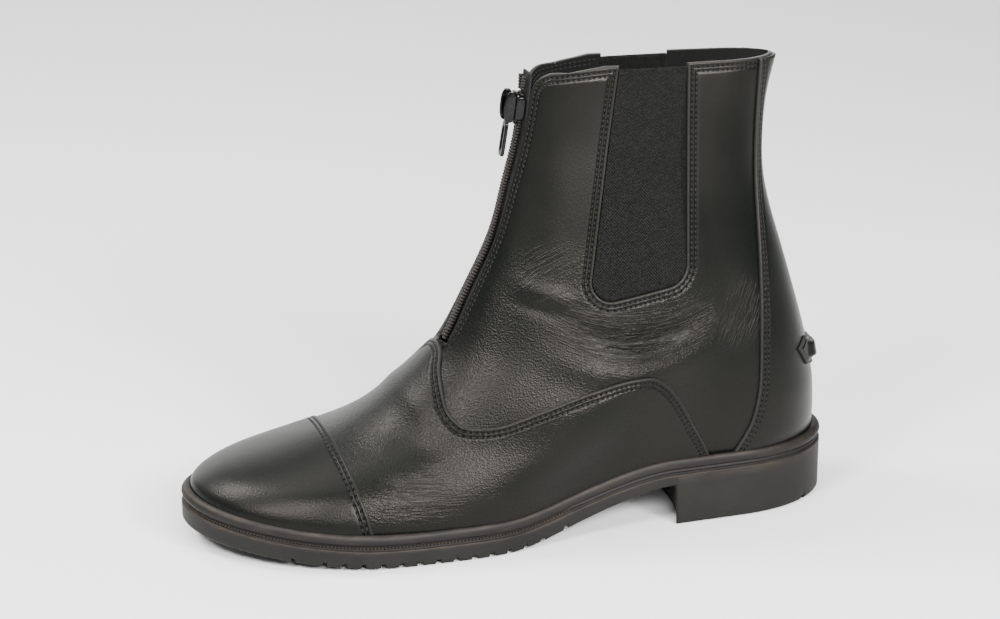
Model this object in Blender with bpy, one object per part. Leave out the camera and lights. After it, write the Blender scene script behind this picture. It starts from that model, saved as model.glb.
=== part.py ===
"""Left zip-front jodhpur boot, modelled as the pieces a bootmaker puts together.

Metres, +Z up. The toe points to -X, the outer (lateral) side faces -Y and the boot stands
on the plane z = 0. Sizes below are in millimetres and are scaled once, when a mesh is made.
"""
import bmesh
import bpy
import numpy as np
from mathutils import Matrix, Vector

MM = 0.001
CLEAR = 0.3              # gap kept between pieces that touch
SHARP_DEG = 35.0         # edges bent more than this stay sharp
CUT_HALF_Y = 70.0        # cutters reach past both sides of the boot
CUT_MARGIN = 15.0        # and past its ends
CUT_MIDDLE = 1.0         # cutters of one side stop here, beside the middle
BOTH_SIDES = (("outer", -CUT_HALF_Y, -CUT_MIDDLE), ("inner", CUT_MIDDLE, CUT_HALF_Y))

# Sole sizes
SOLE_LENGTH = 274.5
HEEL_END_X = SOLE_LENGTH / 2
TOE_END_X = -SOLE_LENGTH / 2
HEEL_BREAST_X = 61.8     # front face of the heel
BREAST_HOLLOW = 7.0      # how far that face is curved in
BREAST_FADE = 18.0       # length over which the hollow fades out
BREAST_SLOPE = 0.6       # lean of that face from its foot to the shank
HEEL_HEIGHT = 17.2       # floor to the shank at the heel breast
SHANK_FLOOR_X = -16.0    # where the shank comes down to the floor
SPRING_START_X = -45.0   # where the toe starts to lift
TOE_SPRING = 8.2
SPRING_POWER = 1.87
FORE_TOP = 9.7           # top of the outsole at the ball
HEEL_TOP = 24.3          # top of the outsole at the heel
WELT_HEIGHT = 4.2
WELT_RIM = 0.5           # how far the welt stays inside the outsole's edge
WELT_PROFILE = ((0.0, 0.0), (1.0, 0.12), (1.0, 0.62), (0.72, 0.92), (0.30, 1.0), (0.0, 0.94))
WELT_CLEAR = 0.8         # gap to the upper, which is wider where facets meet a hollow curve
SOLE_EDGE_ROUND = 1.2
GROOVE_DEPTH = 1.3       # stitch groove under the welt
GROOVE_HEIGHT = 2.4
GROOVE_BEVEL = 0.6
NOTCH_PITCH = 7.6        # tread notches across the forefoot
NOTCH_WIDTH = 2.0
NOTCH_DEPTH = 1.5
NOTCH_FIRST_X = -90.0
NOTCH_COUNT = 13
SOLE_BASE = (47.6, 41.2, 34.0, 34.4)
SOLE_NOSE = 70.0
SOLE_HEEL_ROUND = 45.0
INSOLE_THICK = 3.0
SOLE_POINTS = 64         # points around the sole

# Stations along a section, from its front end to its back end, and the left curve there
STATIONS = (0.25, 0.42, 0.58, 0.80)
CURVE_AT = (0.0, 0.08, 0.20, 0.32, 0.45, 0.60, 0.75, 0.90, 1.0)
CURVE_Y = (7.2, 5.6, 1.6, -3.0, -6.8, -4.6, -2.3, -0.4, 0.0)

# Sections of the last from the sole up to the collar: front and back points, half widths
# at the four stations, the length of the rounded front and back, and how much of the
# sole's own rise and left curve the section keeps
RING_COLUMNS = ("front_x", "front_z", "back_x", "back_z", "ball", "instep", "waist", "heel",
                "nose", "back_round", "sole_share", "curve_share")
RINGS = (
    (-131.4, 18.2, 130.8, 24.6, 43.3, 37.6, 30.8, 31.0, 60, 42, 1.00, 1.00),
    (-131.7, 23.2, 131.8, 29.6, 43.4, 38.2, 31.3, 31.8, 58, 40, 0.95, 1.00),
    (-127.2, 26.8, 131.9, 34.2, 42.4, 38.0, 32.0, 32.3, 56, 38, 0.80, 1.00),
    (-120.6, 29.8, 131.9, 39.2, 41.0, 37.6, 32.5, 32.4, 54, 38, 0.65, 0.95),
    (-108.4, 32.8, 131.6, 44.6, 39.0, 37.0, 33.0, 32.3, 52, 37, 0.50, 0.90),
    (-91.8, 36.8, 131.2, 50.6, 37.0, 36.5, 33.2, 32.0, 50, 36, 0.35, 0.80),
    (-74.8, 41.6, 129.9, 57.0, 35.2, 36.0, 33.2, 31.5, 48, 35, 0.20, 0.65),
    (-58.2, 50.6, 128.1, 66.0, 34.0, 35.4, 33.0, 30.6, 46, 34, 0.10, 0.45),
    (-44.6, 62.4, 125.2, 77.0, 32.8, 34.4, 32.4, 29.4, 46, 33, 0.04, 0.30),
    (-31.2, 75.0, 121.3, 90.0, 31.2, 32.8, 31.2, 27.8, 46, 32, 0.00, 0.20),
    (-19.1, 99.0, 115.5, 109.0, 27.8, 29.8, 28.8, 25.2, 45, 31, 0.00, 0.10),
    (-8.8, 121.0, 109.8, 127.0, 23.8, 26.0, 25.4, 22.2, 42, 30, 0.00, 0.00),
    (-3.0, 143.0, 106.2, 146.0, 19.4, 21.6, 21.4, 19.0, 38, 28, 0.00, 0.00),
    (2.3, 165.0, 106.8, 168.0, 15.2, 17.0, 17.0, 15.6, 34, 26, 0.00, 0.00),
    (5.2, 191.0, 111.8, 189.0, 12.0, 13.2, 13.2, 12.2, 30, 24, 0.00, 0.00),
)
COLLAR_Z = RINGS[-1][1]
WELT_TOP_RING = 1        # the section that lies just above the welt
RING_STEPS = 24          # rows of the mesh between sole and collar
AROUND = 44              # points around a section

# Upper and what is sewn on it: offsets from the last's surface, outwards
LEATHER = 2.0
OVERLAY = 1.4
CAP_THICK = 2.1
CAP_SEAM = ((-78.0, 70.0), (-77.4, 50.0), (-76.4, 41.5), (-74.6, 34.0), (-72.6, 25.5),
            (-70.2, 15.5), (-69.0, 8.0))
WING_EDGE = ((-30.5, 90.0), (-30.4, 77.0), (-33.4, 68.0), (-34.2, 58.5), (-27.4, 50.3),
             (-17.6, 50.6), (1.0, 55.8), (22.9, 63.0), (40.7, 66.7), (46.8, 66.7), (53.7, 63.3),
             (61.0, 55.2), (68.2, 42.8), (75.0, 30.2), (78.4, 20.0))
BACK_EDGE = ((102.8, 200.0), (102.4, 188.0), (100.8, 145.0), (99.8, 103.0), (98.9, 77.0),
             (98.0, 58.0), (94.8, 42.5), (88.3, 30.2), (82.5, 20.0))
SPUR_TIP = (117.5, 66.5)
SPUR_HALF_HEIGHT = 5.6   # of the strip sewn on at the back
SPUR_SLANT = 0.5         # how much the strip falls towards the back
SPUR_POINT = 5.0         # length of its pointed ends
SPUR_BASE = 1.2
SPUR_RIDGE = 2.2
SPUR_RIDGE_HALF = 3.6
SPUR_RIDGE_FADE = 10.0   # length over which the ridge rises from the strip's ends

# Elastic gores: corners of the cut-out in side view
GORE_TOP_FRONT_X = 41.7
GORE_TOP_BACK_X = 70.7
GORE_FRONT_CORNER = (33.7, 105.8, 8.0)    # centre x, z and radius
GORE_BACK_CORNER = (57.3, 110.6, 9.5)
GORE_BOTTOM_DEG = 278.0  # direction in which the lower edge faces
GORE_TOP_DROP = 1.5
GORE_OUTER_OFFSET = -0.7
GORE_THICK = 1.1

# Zip on the front
ZIP_LOW_Z = 78.0
ZIP_HALF_SLIT = 5.2
ZIP_CUT_AHEAD = 12.0
ZIP_CUT_BEHIND = 9.0
TAPE_HALF = 4.9
TAPE_BACK = 2.8
TAPE_FRONT = 2.0
CHAIN_HALF = 2.4
CHAIN_BACK = 1.6
CHAIN_FRONT = -0.6
TAPE_TOP_Z = 187.6
ENDS_LOW_Z = 180.0       # where the closed chain ends and its two rows part
ENDS_TOP_Z = 186.2
END_WIDTH = 1.9
END_INNER_LOW = 0.3
END_INNER_TOP = 1.6
SLIDER_LOW_Z = 167.0
SLIDER_HIGH_Z = 180.0
SLIDER_WIDTH = 8.4
SLIDER_PLATE = 1.6
PIN_Z = 171.8
PIN_AHEAD = 1.9          # pin centre in front of the slider's plate
PIN_RADIUS = 0.6
EAR_INNER = 1.9
EAR_THICK = 1.1
EAR_RADIUS = 1.5
EAR_ROOT = 1.0           # how far an ear is sunk into the plate
EAR_STEP = 0.2           # how much slimmer its foot is
PULL_EYE_RADIUS = 1.5
PULL_HOLE_RADIUS = 0.95
PULL_EYE_WIDTH = 3.2
PULL_NECK = 4.0          # from the pin down to the blade
PULL_LENGTH = 18.5
PULL_WIDTH = 5.0
PULL_THICK = 1.4
PULL_SLOT_WIDTH = 2.2
PULL_SLOT_LENGTH = 10.0
PULL_SLOT_TOP = 6.0      # from the pin down to the slot
PULL_TILT_DEG = 9.0      # its hanging angle from the vertical


# Helper functions

def smooth(knots, values, at):
    """Monotone cubic curve through a short table, held level past both ends."""
    knots = np.asarray(knots, float)
    values = np.asarray(values, float)
    at = np.clip(np.asarray(at, float), knots[0], knots[-1])
    steps = np.diff(knots)
    rises = np.diff(values) / steps
    slopes = np.zeros_like(values)
    before, after = rises[:-1], rises[1:]
    same_way = before * after > 0
    total = np.where(same_way, before + after, 1.0)
    slopes[1:-1] = np.where(same_way, 2 * before * after / total, 0.0)
    slopes[0], slopes[-1] = rises[0], rises[-1]
    cell = np.clip(np.searchsorted(knots, at, side="right") - 1, 0, len(steps) - 1)
    width = steps[cell]
    t = (at - knots[cell]) / width
    start = (1 + 2 * t) * (1 - t) ** 2 * values[cell] + t * (1 - t) ** 2 * width * slopes[cell]
    end = t * t * (3 - 2 * t) * values[cell + 1] - t * t * (1 - t) * width * slopes[cell + 1]
    return start + end


def round_end(distance, length):
    """Elliptical rounding: 0 at the end of a section, 1 from the given length on."""
    left = 1 - np.clip(distance / length, 0, 1)
    return np.sqrt(np.clip(1 - left * left, 0, 1))


def sole_rise(x):
    """Height of the shank and toe over the ball: 0 there, rising to the heel and to the toe."""
    back = np.clip((x - SHANK_FLOOR_X) / (HEEL_BREAST_X - SHANK_FLOOR_X), 0, 1)
    shank = back * back * (3 - 2 * back)
    ahead = np.clip((SPRING_START_X - x) / (SPRING_START_X - TOE_END_X), 0, 1)
    return shank, TOE_SPRING * ahead ** SPRING_POWER


def sole_top(x):
    """Top of the outsole, where the upper and insole stand."""
    shank, spring = sole_rise(x)
    return FORE_TOP + (HEEL_TOP - FORE_TOP) * shank + spring


def sole_bottom(x):
    """Underside of the outsole, with the heel left out."""
    shank, spring = sole_rise(x)
    return HEEL_HEIGHT * shank + spring


def plan(along, length, base, nose, back_round):
    """Half width of a section at a share of its length."""
    width = smooth(STATIONS, base, along)
    width = width * round_end(along * length, nose)
    return width * round_end((1 - along) * length, back_round)


def left_curve(along):
    """Sideways shift of the middle line that makes this a left boot."""
    return smooth(CURVE_AT, CURVE_Y, along)


def around(count):
    """Shares along a section and side signs, for points running once around it."""
    angle = 2 * np.pi * np.arange(count) / count
    along = (1 - np.cos(angle)) / 2
    side = -np.sign(np.sin(angle))
    return along, np.where(np.abs(np.sin(angle)) < 1e-9, 0.0, side)


def sole_loop(inset, count=SOLE_POINTS):
    """Plan outline of the sole, moved in by an inset."""
    along, side = around(count)
    length = SOLE_LENGTH - 2 * inset
    base = [width - inset for width in SOLE_BASE]
    half = plan(along, length, base, SOLE_NOSE - inset, SOLE_HEEL_ROUND - inset)
    x = TOE_END_X + inset + along * length
    return x, left_curve(along) + side * half


def last_surface(level, share, side):
    """Point of the last at a level (0 sole to 1 collar), a share of the section and a side."""
    row = np.asarray(level, float) * (len(RINGS) - 1)
    rows = np.arange(len(RINGS))
    table = np.asarray(RINGS, float)
    ring = {name: smooth(rows, table[:, i], row) for i, name in enumerate(RING_COLUMNS)}
    length = ring["back_x"] - ring["front_x"]
    x = ring["front_x"] + share * length
    bases = [ring[name] for name in ("ball", "instep", "waist", "heel")]
    width = np.zeros_like(x)
    for index in np.ndindex(*x.shape):
        width[index] = smooth(STATIONS, [base[index] for base in bases], share[index])
    width = width * round_end(share * length, ring["nose"])
    width = width * round_end((1 - share) * length, ring["back_round"])
    y = left_curve(share) * ring["curve_share"] + side * width
    first = RINGS[0]
    first_x = first[0] + share * (first[2] - first[0])
    straight = first[1] + share * (first[3] - first[1])
    sag = sole_top(first_x) + CLEAR - straight
    z = ring["front_z"] + share * (ring["back_z"] - ring["front_z"]) + sag * ring["sole_share"]
    return np.stack([x, y, z], axis=-1)


def outward_in_plan(loop):
    """Unit normals of a loop around the foot, seen from above."""
    across = np.roll(loop, -1, axis=0) - np.roll(loop, 1, axis=0)
    outward = np.column_stack([across[:, 1], -across[:, 0]])
    return outward / np.linalg.norm(outward, axis=1, keepdims=True)


def last_grid(low_ring=0):
    """Points and outward normals of the last from a section up to the collar."""
    start = low_ring / (len(RINGS) - 1)
    levels = np.linspace(start, 1, RING_STEPS + 1 - 2 * low_ring)
    share, side = around(AROUND)
    level_grid = np.repeat(levels[:, None], AROUND, axis=1)
    share_grid = np.repeat(share[None, :], len(levels), axis=0)
    side_grid = np.repeat(side[None, :], len(levels), axis=0)
    points = last_surface(level_grid, share_grid, side_grid)
    across = np.roll(points, -1, axis=1) - np.roll(points, 1, axis=1)
    upward = np.gradient(points, axis=0)
    normals = np.cross(across, upward)
    normals /= np.linalg.norm(normals, axis=-1, keepdims=True)
    return points, normals


def collection(name):
    made = bpy.data.collections.new(name)
    bpy.context.scene.collection.children.link(made)
    return made


def material(name, colour, roughness, metallic=0.0):
    made = bpy.data.materials.new(name)
    made.use_nodes = True
    shader = made.node_tree.nodes["Principled BSDF"]
    shader.inputs["Base Color"].default_value = (*colour, 1.0)
    shader.inputs["Roughness"].default_value = roughness
    shader.inputs["Metallic"].default_value = metallic
    return made


def add_object(name, mesh, look=None):
    """Put a mesh in the boot's collection, or among the cutters when it has no look."""
    made = bpy.data.objects.new(name, mesh)
    if look is None:
        CUTTERS.objects.link(made)
        made.hide_render = True
        made.display_type = "WIRE"
    else:
        PARTS.objects.link(made)
        mesh.materials.append(look)
    return made


def mesh_from(name, points, faces):
    mesh = bpy.data.meshes.new(name)
    mesh.from_pydata((np.asarray(points, float) * MM).tolist(), [], faces)
    work = bmesh.new()
    work.from_mesh(mesh)
    bmesh.ops.recalc_face_normals(work, faces=work.faces)
    work.to_mesh(mesh)
    work.free()
    mesh.shade_smooth()
    mesh.set_sharp_from_angle(angle=np.radians(SHARP_DEG))
    return mesh


def wall_mesh(name, outer, inner):
    """Closed wall between two grids that run around: rims at the top and the bottom."""
    rows, count = outer.shape[:2]
    loops = np.concatenate([outer, inner[::-1]])
    index = np.arange(len(loops) * count).reshape(len(loops), count)
    faces = []
    for low, high in zip(index, np.roll(index, -1, axis=0)):
        for i in range(count):
            j = (i + 1) % count
            faces.append((low[i], low[j], high[j], high[i]))
    return mesh_from(name, loops.reshape(-1, 3), faces)


def slab_mesh(name, loops, across=6):
    """Closed slab of stacked loops around the foot, with crosswise strips as its two caps.

    Each loop is (x, y, z) arrays. The lower cap is hollowed along the heel's front face.
    """
    count = len(loops[0][0])
    points = [np.stack(loop, axis=-1) for loop in loops]
    faces = []
    for k in range(len(points) - 1):
        for i in range(count):
            j = (i + 1) % count
            faces.append((k * count + i, k * count + j, (k + 1) * count + j, (k + 1) * count + i))
    flat = np.concatenate(points)
    for k in (0, len(points) - 1):
        loop = points[k]
        half = count // 2
        rows = []
        for i in range(1, half):
            left, right = k * count + i, k * count + count - i
            row = [left]
            for step in range(1, across):
                share = step / across
                middle = (1 - share) * loop[i] + share * loop[count - i]
                if k == 0:
                    middle[0] += BREAST_HOLLOW * breast_weight(loop[i]) * (1 - (2 * share - 1) ** 2)
                row.append(len(flat))
                flat = np.vstack([flat, middle])
            row.append(right)
            rows.append(row)
        for low, high in zip(rows, rows[1:]):
            for a in range(across):
                faces.append((low[a], low[a + 1], high[a + 1], high[a]))
        ends = ((k * count, rows[0]), (k * count + half, rows[-1]))
        for tip, row in ends:
            for a in range(across):
                faces.append((tip, row[a], row[a + 1]))
    return mesh_from(name, flat, faces)


def breast_weight(point):
    """1 on the heel's front face, fading out over the floor and the shank near it."""
    return max(0.0, 1 - abs(point[0] - HEEL_BREAST_X) / BREAST_FADE)


def prism(name, outline, low_y, high_y):
    """Cutter: a side-view outline drawn out along Y."""
    work = bmesh.new()
    ring = [work.verts.new((x * MM, low_y * MM, z * MM)) for x, z in outline]
    face = work.faces.new(ring)
    pushed = bmesh.ops.extrude_face_region(work, geom=[face])
    moved = [item for item in pushed["geom"] if isinstance(item, bmesh.types.BMVert)]
    bmesh.ops.translate(work, verts=moved, vec=(0, (high_y - low_y) * MM, 0))
    bmesh.ops.recalc_face_normals(work, faces=work.faces)
    mesh = bpy.data.meshes.new(name)
    work.to_mesh(mesh)
    work.free()
    return add_object(name, mesh)


def box(name, size, centre, look=None):
    work = bmesh.new()
    scale = Matrix.Diagonal((*(Vector(size) * MM), 1))
    bmesh.ops.create_cube(work, size=1, matrix=Matrix.Translation(Vector(centre) * MM) @ scale)
    mesh = bpy.data.meshes.new(name)
    work.to_mesh(mesh)
    work.free()
    return add_object(name, mesh, look)


def rod(name, radius, length, centre, look=None, sides=16):
    """Cylinder along Y."""
    work = bmesh.new()
    turned = Matrix.Translation(Vector(centre) * MM) @ Matrix.Rotation(np.pi / 2, 4, "X")
    bmesh.ops.create_cone(work, cap_ends=True, segments=sides, radius1=radius * MM,
                          radius2=radius * MM, depth=length * MM, matrix=turned)
    mesh = bpy.data.meshes.new(name)
    work.to_mesh(mesh)
    work.free()
    return add_object(name, mesh, look)


def boolean(target, tool, operation):
    modifier = target.modifiers.new(f"{operation.lower()} {tool.name}", "BOOLEAN")
    modifier.operation = operation
    modifier.object = tool
    return target


def curve_points(table, steps=4):
    """Smooth line through a short table of side-view points."""
    points = np.asarray(table, float)
    knots = np.concatenate([[0], np.cumsum(np.linalg.norm(np.diff(points, axis=0), axis=1))])
    at = np.linspace(0, 1, steps * (len(points) - 1) + 1)
    at = np.interp(at * (len(points) - 1), np.arange(len(points)), knots)
    return list(zip(smooth(knots, points[:, 0], at), smooth(knots, points[:, 1], at)))


def front_line(z):
    """Front edge of the shaft in side view."""
    table = np.asarray(RINGS, float)
    return smooth(table[:, 1], table[:, 0], z)


def overlay(name, outer, outline, look, inner=CLEAR, low_ring=WELT_TOP_RING):
    """Leather cut between two larger forms of the upper's own surface, inside an outline."""
    points, normals = last_grid(low_ring)
    made = add_object(name, wall_mesh(name, points + normals * outer, points + normals * inner), look)
    return boolean(made, prism(f"{name} outline", outline, -CUT_HALF_Y, CUT_HALF_Y), "INTERSECT")


# Pieces

def make_outsole():
    """Moulded unit: tread, shank, heel and side wall with the stitch groove."""
    steps = ((SOLE_EDGE_ROUND, 0.0, 0), (0.0, SOLE_EDGE_ROUND, 0), (0.0, -GROOVE_HEIGHT, 1),
             (GROOVE_DEPTH, GROOVE_BEVEL - GROOVE_HEIGHT, 1), (GROOVE_DEPTH, 0.0, 1))
    loops = []
    for inset, height, from_top in steps:
        loop_x, loop_y = sole_loop(inset)
        loop_x = snap_to_breast(loop_x)
        under = np.where(loop_x > HEEL_BREAST_X - BREAST_SLOPE / 2, 0.0, sole_bottom(loop_x))
        level = sole_top(loop_x) if from_top else under
        loops.append((loop_x, loop_y, level + height))
    made = add_object("outsole", slab_mesh("outsole", loops), RUBBER)
    for k in range(NOTCH_COUNT):
        at = NOTCH_FIRST_X + k * NOTCH_PITCH
        notch = box(f"tread notch {k + 1}", (NOTCH_WIDTH, 2 * CUT_HALF_Y, 2 * NOTCH_DEPTH),
                    (at, 0, float(sole_bottom(at))))
        boolean(made, notch, "DIFFERENCE")
    return made


def snap_to_breast(x):
    """Moves the two nearest stations onto the heel's front face, one on each side of it."""
    x = x.copy()
    half = len(x) // 2
    for side in (slice(0, half + 1), slice(half, None)):
        part = x[side]
        behind = np.argmin(np.where(part > HEEL_BREAST_X, part, np.inf))
        ahead = np.argmax(np.where(part <= HEEL_BREAST_X, part, -np.inf))
        part[behind] = HEEL_BREAST_X
        part[ahead] = HEEL_BREAST_X - BREAST_SLOPE
    return x


def make_welt():
    """Rounded strip around the foot of the upper."""
    share, side = around(SOLE_POINTS)
    outer_x, outer_y = sole_loop(WELT_RIM)
    foot = last_surface(np.zeros(SOLE_POINTS), share, side)
    top_level = WELT_TOP_RING / (len(RINGS) - 1)
    shoulder = last_surface(np.full(SOLE_POINTS, top_level), share, side)
    outer = np.stack([outer_x, outer_y], axis=-1)
    outward = outward_in_plan(foot)
    bulge = np.sum((shoulder - foot)[:, :2] * outward, axis=1, keepdims=True)
    inner = foot[:, :2] + outward * (np.maximum(bulge, 0) + WELT_CLEAR)
    floor = sole_top(outer[:, 0]) + CLEAR
    loops = []
    for out, up in WELT_PROFILE:
        spot = inner + (outer - inner) * out
        loops.append(np.column_stack([spot, floor + up * (WELT_HEIGHT - CLEAR)]))
    half = len(loops) // 2
    grid = np.stack(loops)
    return add_object("welt", wall_mesh("welt", grid[:half], grid[half:][::-1]), RUBBER)


def make_insole():
    """Footbed lying on the outsole, inside the upper."""
    share, side = around(SOLE_POINTS)
    foot = last_surface(np.zeros(SOLE_POINTS), share, side)
    flat = foot[:, :2] - outward_in_plan(foot) * (LEATHER + 2 * CLEAR)
    low = sole_top(flat[:, 0]) + 2 * CLEAR
    loops = [(flat[:, 0], flat[:, 1], low), (flat[:, 0], flat[:, 1], low + INSOLE_THICK)]
    return add_object("insole", slab_mesh("insole", loops, across=2), LINING)


def gore_outline(inset, top_z):
    """Cut-out of the elastic in side view, with rounded lower corners."""
    line = []
    for (centre_x, centre_z, corner), first, last in (
            (GORE_FRONT_CORNER, 180, GORE_BOTTOM_DEG), (GORE_BACK_CORNER, GORE_BOTTOM_DEG, 360)):
        for angle in np.radians(np.linspace(first, last, 6)):
            radius = corner - inset
            line.append((centre_x + radius * np.cos(angle), centre_z + radius * np.sin(angle)))
    front_low, back_low = line[0], line[-1]
    front_lean = (GORE_TOP_FRONT_X + inset - front_low[0]) / (COLLAR_Z - front_low[1])
    back_lean = (GORE_TOP_BACK_X - inset - back_low[0]) / (COLLAR_Z - back_low[1])
    line.append((back_low[0] + back_lean * (top_z - back_low[1]), top_z))
    line.append((front_low[0] + front_lean * (top_z - front_low[1]), top_z))
    return line


def zip_strip(low_z, high_z, front, back, count=9):
    """Side-view outline of a strip that follows the front edge of the shaft."""
    z = np.linspace(low_z, high_z, count)
    x = front_line(z)
    return list(zip(x + front, z)) + list(zip(x[::-1] + back, z[::-1]))


def make_upper():
    """One hollow wall, open underneath and at the collar, with gore and zip cut out."""
    points, normals = last_grid()
    made = add_object("upper", wall_mesh("upper", points, points - normals * LEATHER), LEATHER_BLACK)
    above = COLLAR_Z + CUT_MARGIN
    for side, low_y, high_y in BOTH_SIDES:
        boolean(made, prism(f"gore cut {side}", gore_outline(0, above), low_y, high_y), "DIFFERENCE")
    slit = prism("zip slit", zip_strip(ZIP_LOW_Z - CLEAR, above, -ZIP_CUT_AHEAD, ZIP_CUT_BEHIND),
                 -ZIP_HALF_SLIT, ZIP_HALF_SLIT)
    return boolean(made, slit, "DIFFERENCE")


def make_overlays():
    """Toe cap, vamp with its wings, back strip and spur rest, each cut from the upper's surface."""
    cap_edge = curve_points(CAP_SEAM)
    toe_x = TOE_END_X - CUT_MARGIN
    overlay("toe_cap", CAP_THICK, [(toe_x, 0), (toe_x, CAP_SEAM[0][1])] + cap_edge, LEATHER_BLACK)
    behind_cap = [(x + CLEAR, z) for x, z in cap_edge]
    wings = curve_points(WING_EDGE) + [(WING_EDGE[-1][0], 0)]
    overlay("vamp", OVERLAY, wings + behind_cap[::-1], LEATHER_BLACK)
    heel_x = HEEL_END_X + CUT_MARGIN
    behind = [(heel_x, BACK_EDGE[-1][1]), (heel_x, BACK_EDGE[0][1])]
    overlay("back_strip", OVERLAY, curve_points(BACK_EDGE) + behind, LEATHER_BLACK)
    make_spur_rest()


def make_spur_rest():
    """Pointed strip across the back, falling to the middle, with a raised ridge along it."""
    tip_x, tip_z = SPUR_TIP
    far_x = HEEL_END_X + CUT_MARGIN
    shoulder_x = tip_x + SPUR_POINT
    edge = [(tip_x, tip_z)]
    for x, sign in ((shoulder_x, 1), (far_x, 1), (far_x, -1), (shoulder_x, -1)):
        edge.append((x, tip_z - SPUR_SLANT * (x - tip_x) + sign * SPUR_HALF_HEIGHT))
    points, normals = last_grid(WELT_TOP_RING)
    inner = OVERLAY + CLEAR
    middle = tip_z - SPUR_SLANT * (points[..., 0:1] - tip_x)
    away = np.clip(np.abs(points[..., 2:3] - middle) / SPUR_RIDGE_HALF, 0, 1)
    rise = np.clip((points[..., 0:1] - shoulder_x) / SPUR_RIDGE_FADE, 0, 1)
    outer = inner + SPUR_BASE + SPUR_RIDGE * (1 - away * away) * rise
    mesh = wall_mesh("spur_rest", points + normals * outer, points + normals * inner)
    made = add_object("spur_rest", mesh, LEATHER_BLACK)
    boolean(made, prism("spur_rest outline", edge, -CUT_HALF_Y, CUT_HALF_Y), "INTERSECT")


def make_gores():
    """Elastic panels set into the cut-outs of the shaft."""
    points, normals = last_grid(WELT_TOP_RING)
    inner = GORE_OUTER_OFFSET - GORE_THICK
    top = COLLAR_Z - GORE_TOP_DROP
    for side, low_y, high_y in BOTH_SIDES:
        name = f"gore_{side}"
        mesh = wall_mesh(name, points + normals * GORE_OUTER_OFFSET, points + normals * inner)
        panel = prism(f"{name} outline", gore_outline(CLEAR, top), low_y, high_y)
        boolean(add_object(name, mesh, ELASTIC), panel, "INTERSECT")


def strip_object(name, outline, low_y, high_y, look):
    """Solid strip with a side-view outline."""
    made = prism(name, outline, low_y, high_y)
    CUTTERS.objects.unlink(made)
    PARTS.objects.link(made)
    made.hide_render = False
    made.display_type = "TEXTURED"
    made.data.materials.append(look)
    return made


def make_zip():
    """Tape, closed chain, its two open ends, slider and pull tab."""
    tape = zip_strip(ZIP_LOW_Z, TAPE_TOP_Z, TAPE_FRONT, TAPE_BACK)
    strip_object("zip_tape", tape, -TAPE_HALF, TAPE_HALF, TAPE)
    chain = zip_strip(ZIP_LOW_Z, ENDS_LOW_Z, CHAIN_FRONT, CHAIN_BACK)
    strip_object("zip_chain", chain, -CHAIN_HALF, CHAIN_HALF, METAL)
    for side, sign in (("outer", -1), ("inner", 1)):
        name = f"zip_end_{side}"
        ends = zip_strip(ENDS_LOW_Z + CLEAR, ENDS_TOP_Z, CHAIN_FRONT, CHAIN_BACK, 3)
        end = strip_object(name, ends, 0, END_WIDTH, METAL)
        for vertex in end.data.vertices:
            share = (vertex.co.z / MM - ENDS_LOW_Z) / (ENDS_TOP_Z - ENDS_LOW_Z)
            shift = END_INNER_LOW + (END_INNER_TOP - END_INNER_LOW) * share
            vertex.co.y = sign * (vertex.co.y + shift * MM)
        if sign < 0:
            end.data.flip_normals()
    make_slider_and_pull()


def make_slider_and_pull():
    """Slider plate with two ears and a pin, and the slotted tab that hangs from the pin."""
    plate_back = CHAIN_FRONT - CLEAR
    outline = zip_strip(SLIDER_LOW_Z, SLIDER_HIGH_Z, plate_back - SLIDER_PLATE, plate_back, 4)
    slider = strip_object("zip_slider", outline, -SLIDER_WIDTH / 2, SLIDER_WIDTH / 2, METAL)
    plate_front = float(front_line(PIN_Z)) + plate_back - SLIDER_PLATE
    pin_x = plate_front - PIN_AHEAD
    for sign in (-1, 1):
        y = sign * (EAR_INNER + EAR_THICK / 2)
        ear = rod(f"slider ear {sign}", EAR_RADIUS, EAR_THICK, (pin_x, y, PIN_Z))
        foot_size = (PIN_AHEAD + EAR_ROOT, EAR_THICK - EAR_STEP, 2 * EAR_RADIUS - EAR_STEP)
        foot = box(f"slider ear foot {sign}", foot_size, ((pin_x + plate_front + EAR_ROOT) / 2, y, PIN_Z))
        boolean(slider, foot, "UNION")
        boolean(slider, ear, "UNION")
    pin = rod("slider pin", PIN_RADIUS, 2 * EAR_INNER + EAR_THICK, (pin_x, 0, PIN_Z))
    boolean(slider, pin, "UNION")

    pull = rod("zip_pull", PULL_EYE_RADIUS, PULL_EYE_WIDTH, (0, 0, 0), METAL)
    neck = box("pull neck", (PULL_THICK, PULL_EYE_WIDTH, PULL_NECK),
               (0, 0, -PULL_HOLE_RADIUS - PULL_NECK / 2))
    blade_length = PULL_LENGTH - PULL_NECK
    blade = box("pull blade", (PULL_THICK, PULL_WIDTH, blade_length),
                (0, 0, -PULL_NECK - blade_length / 2))
    slot = box("pull slot", (2 * PULL_THICK, PULL_SLOT_WIDTH, PULL_SLOT_LENGTH),
               (0, 0, -PULL_SLOT_TOP - PULL_SLOT_LENGTH / 2))
    hole = rod("pull hole", PULL_HOLE_RADIUS, 2 * PULL_EYE_WIDTH, (0, 0, 0))
    steps = ((neck, "UNION"), (blade, "UNION"), (slot, "DIFFERENCE"), (hole, "DIFFERENCE"))
    for tool, operation in steps:
        tool.parent = pull
        boolean(pull, tool, operation)
    pull.location = Vector((pin_x, 0, PIN_Z)) * MM
    pull.rotation_euler = (0, np.radians(PULL_TILT_DEG), 0)


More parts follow.
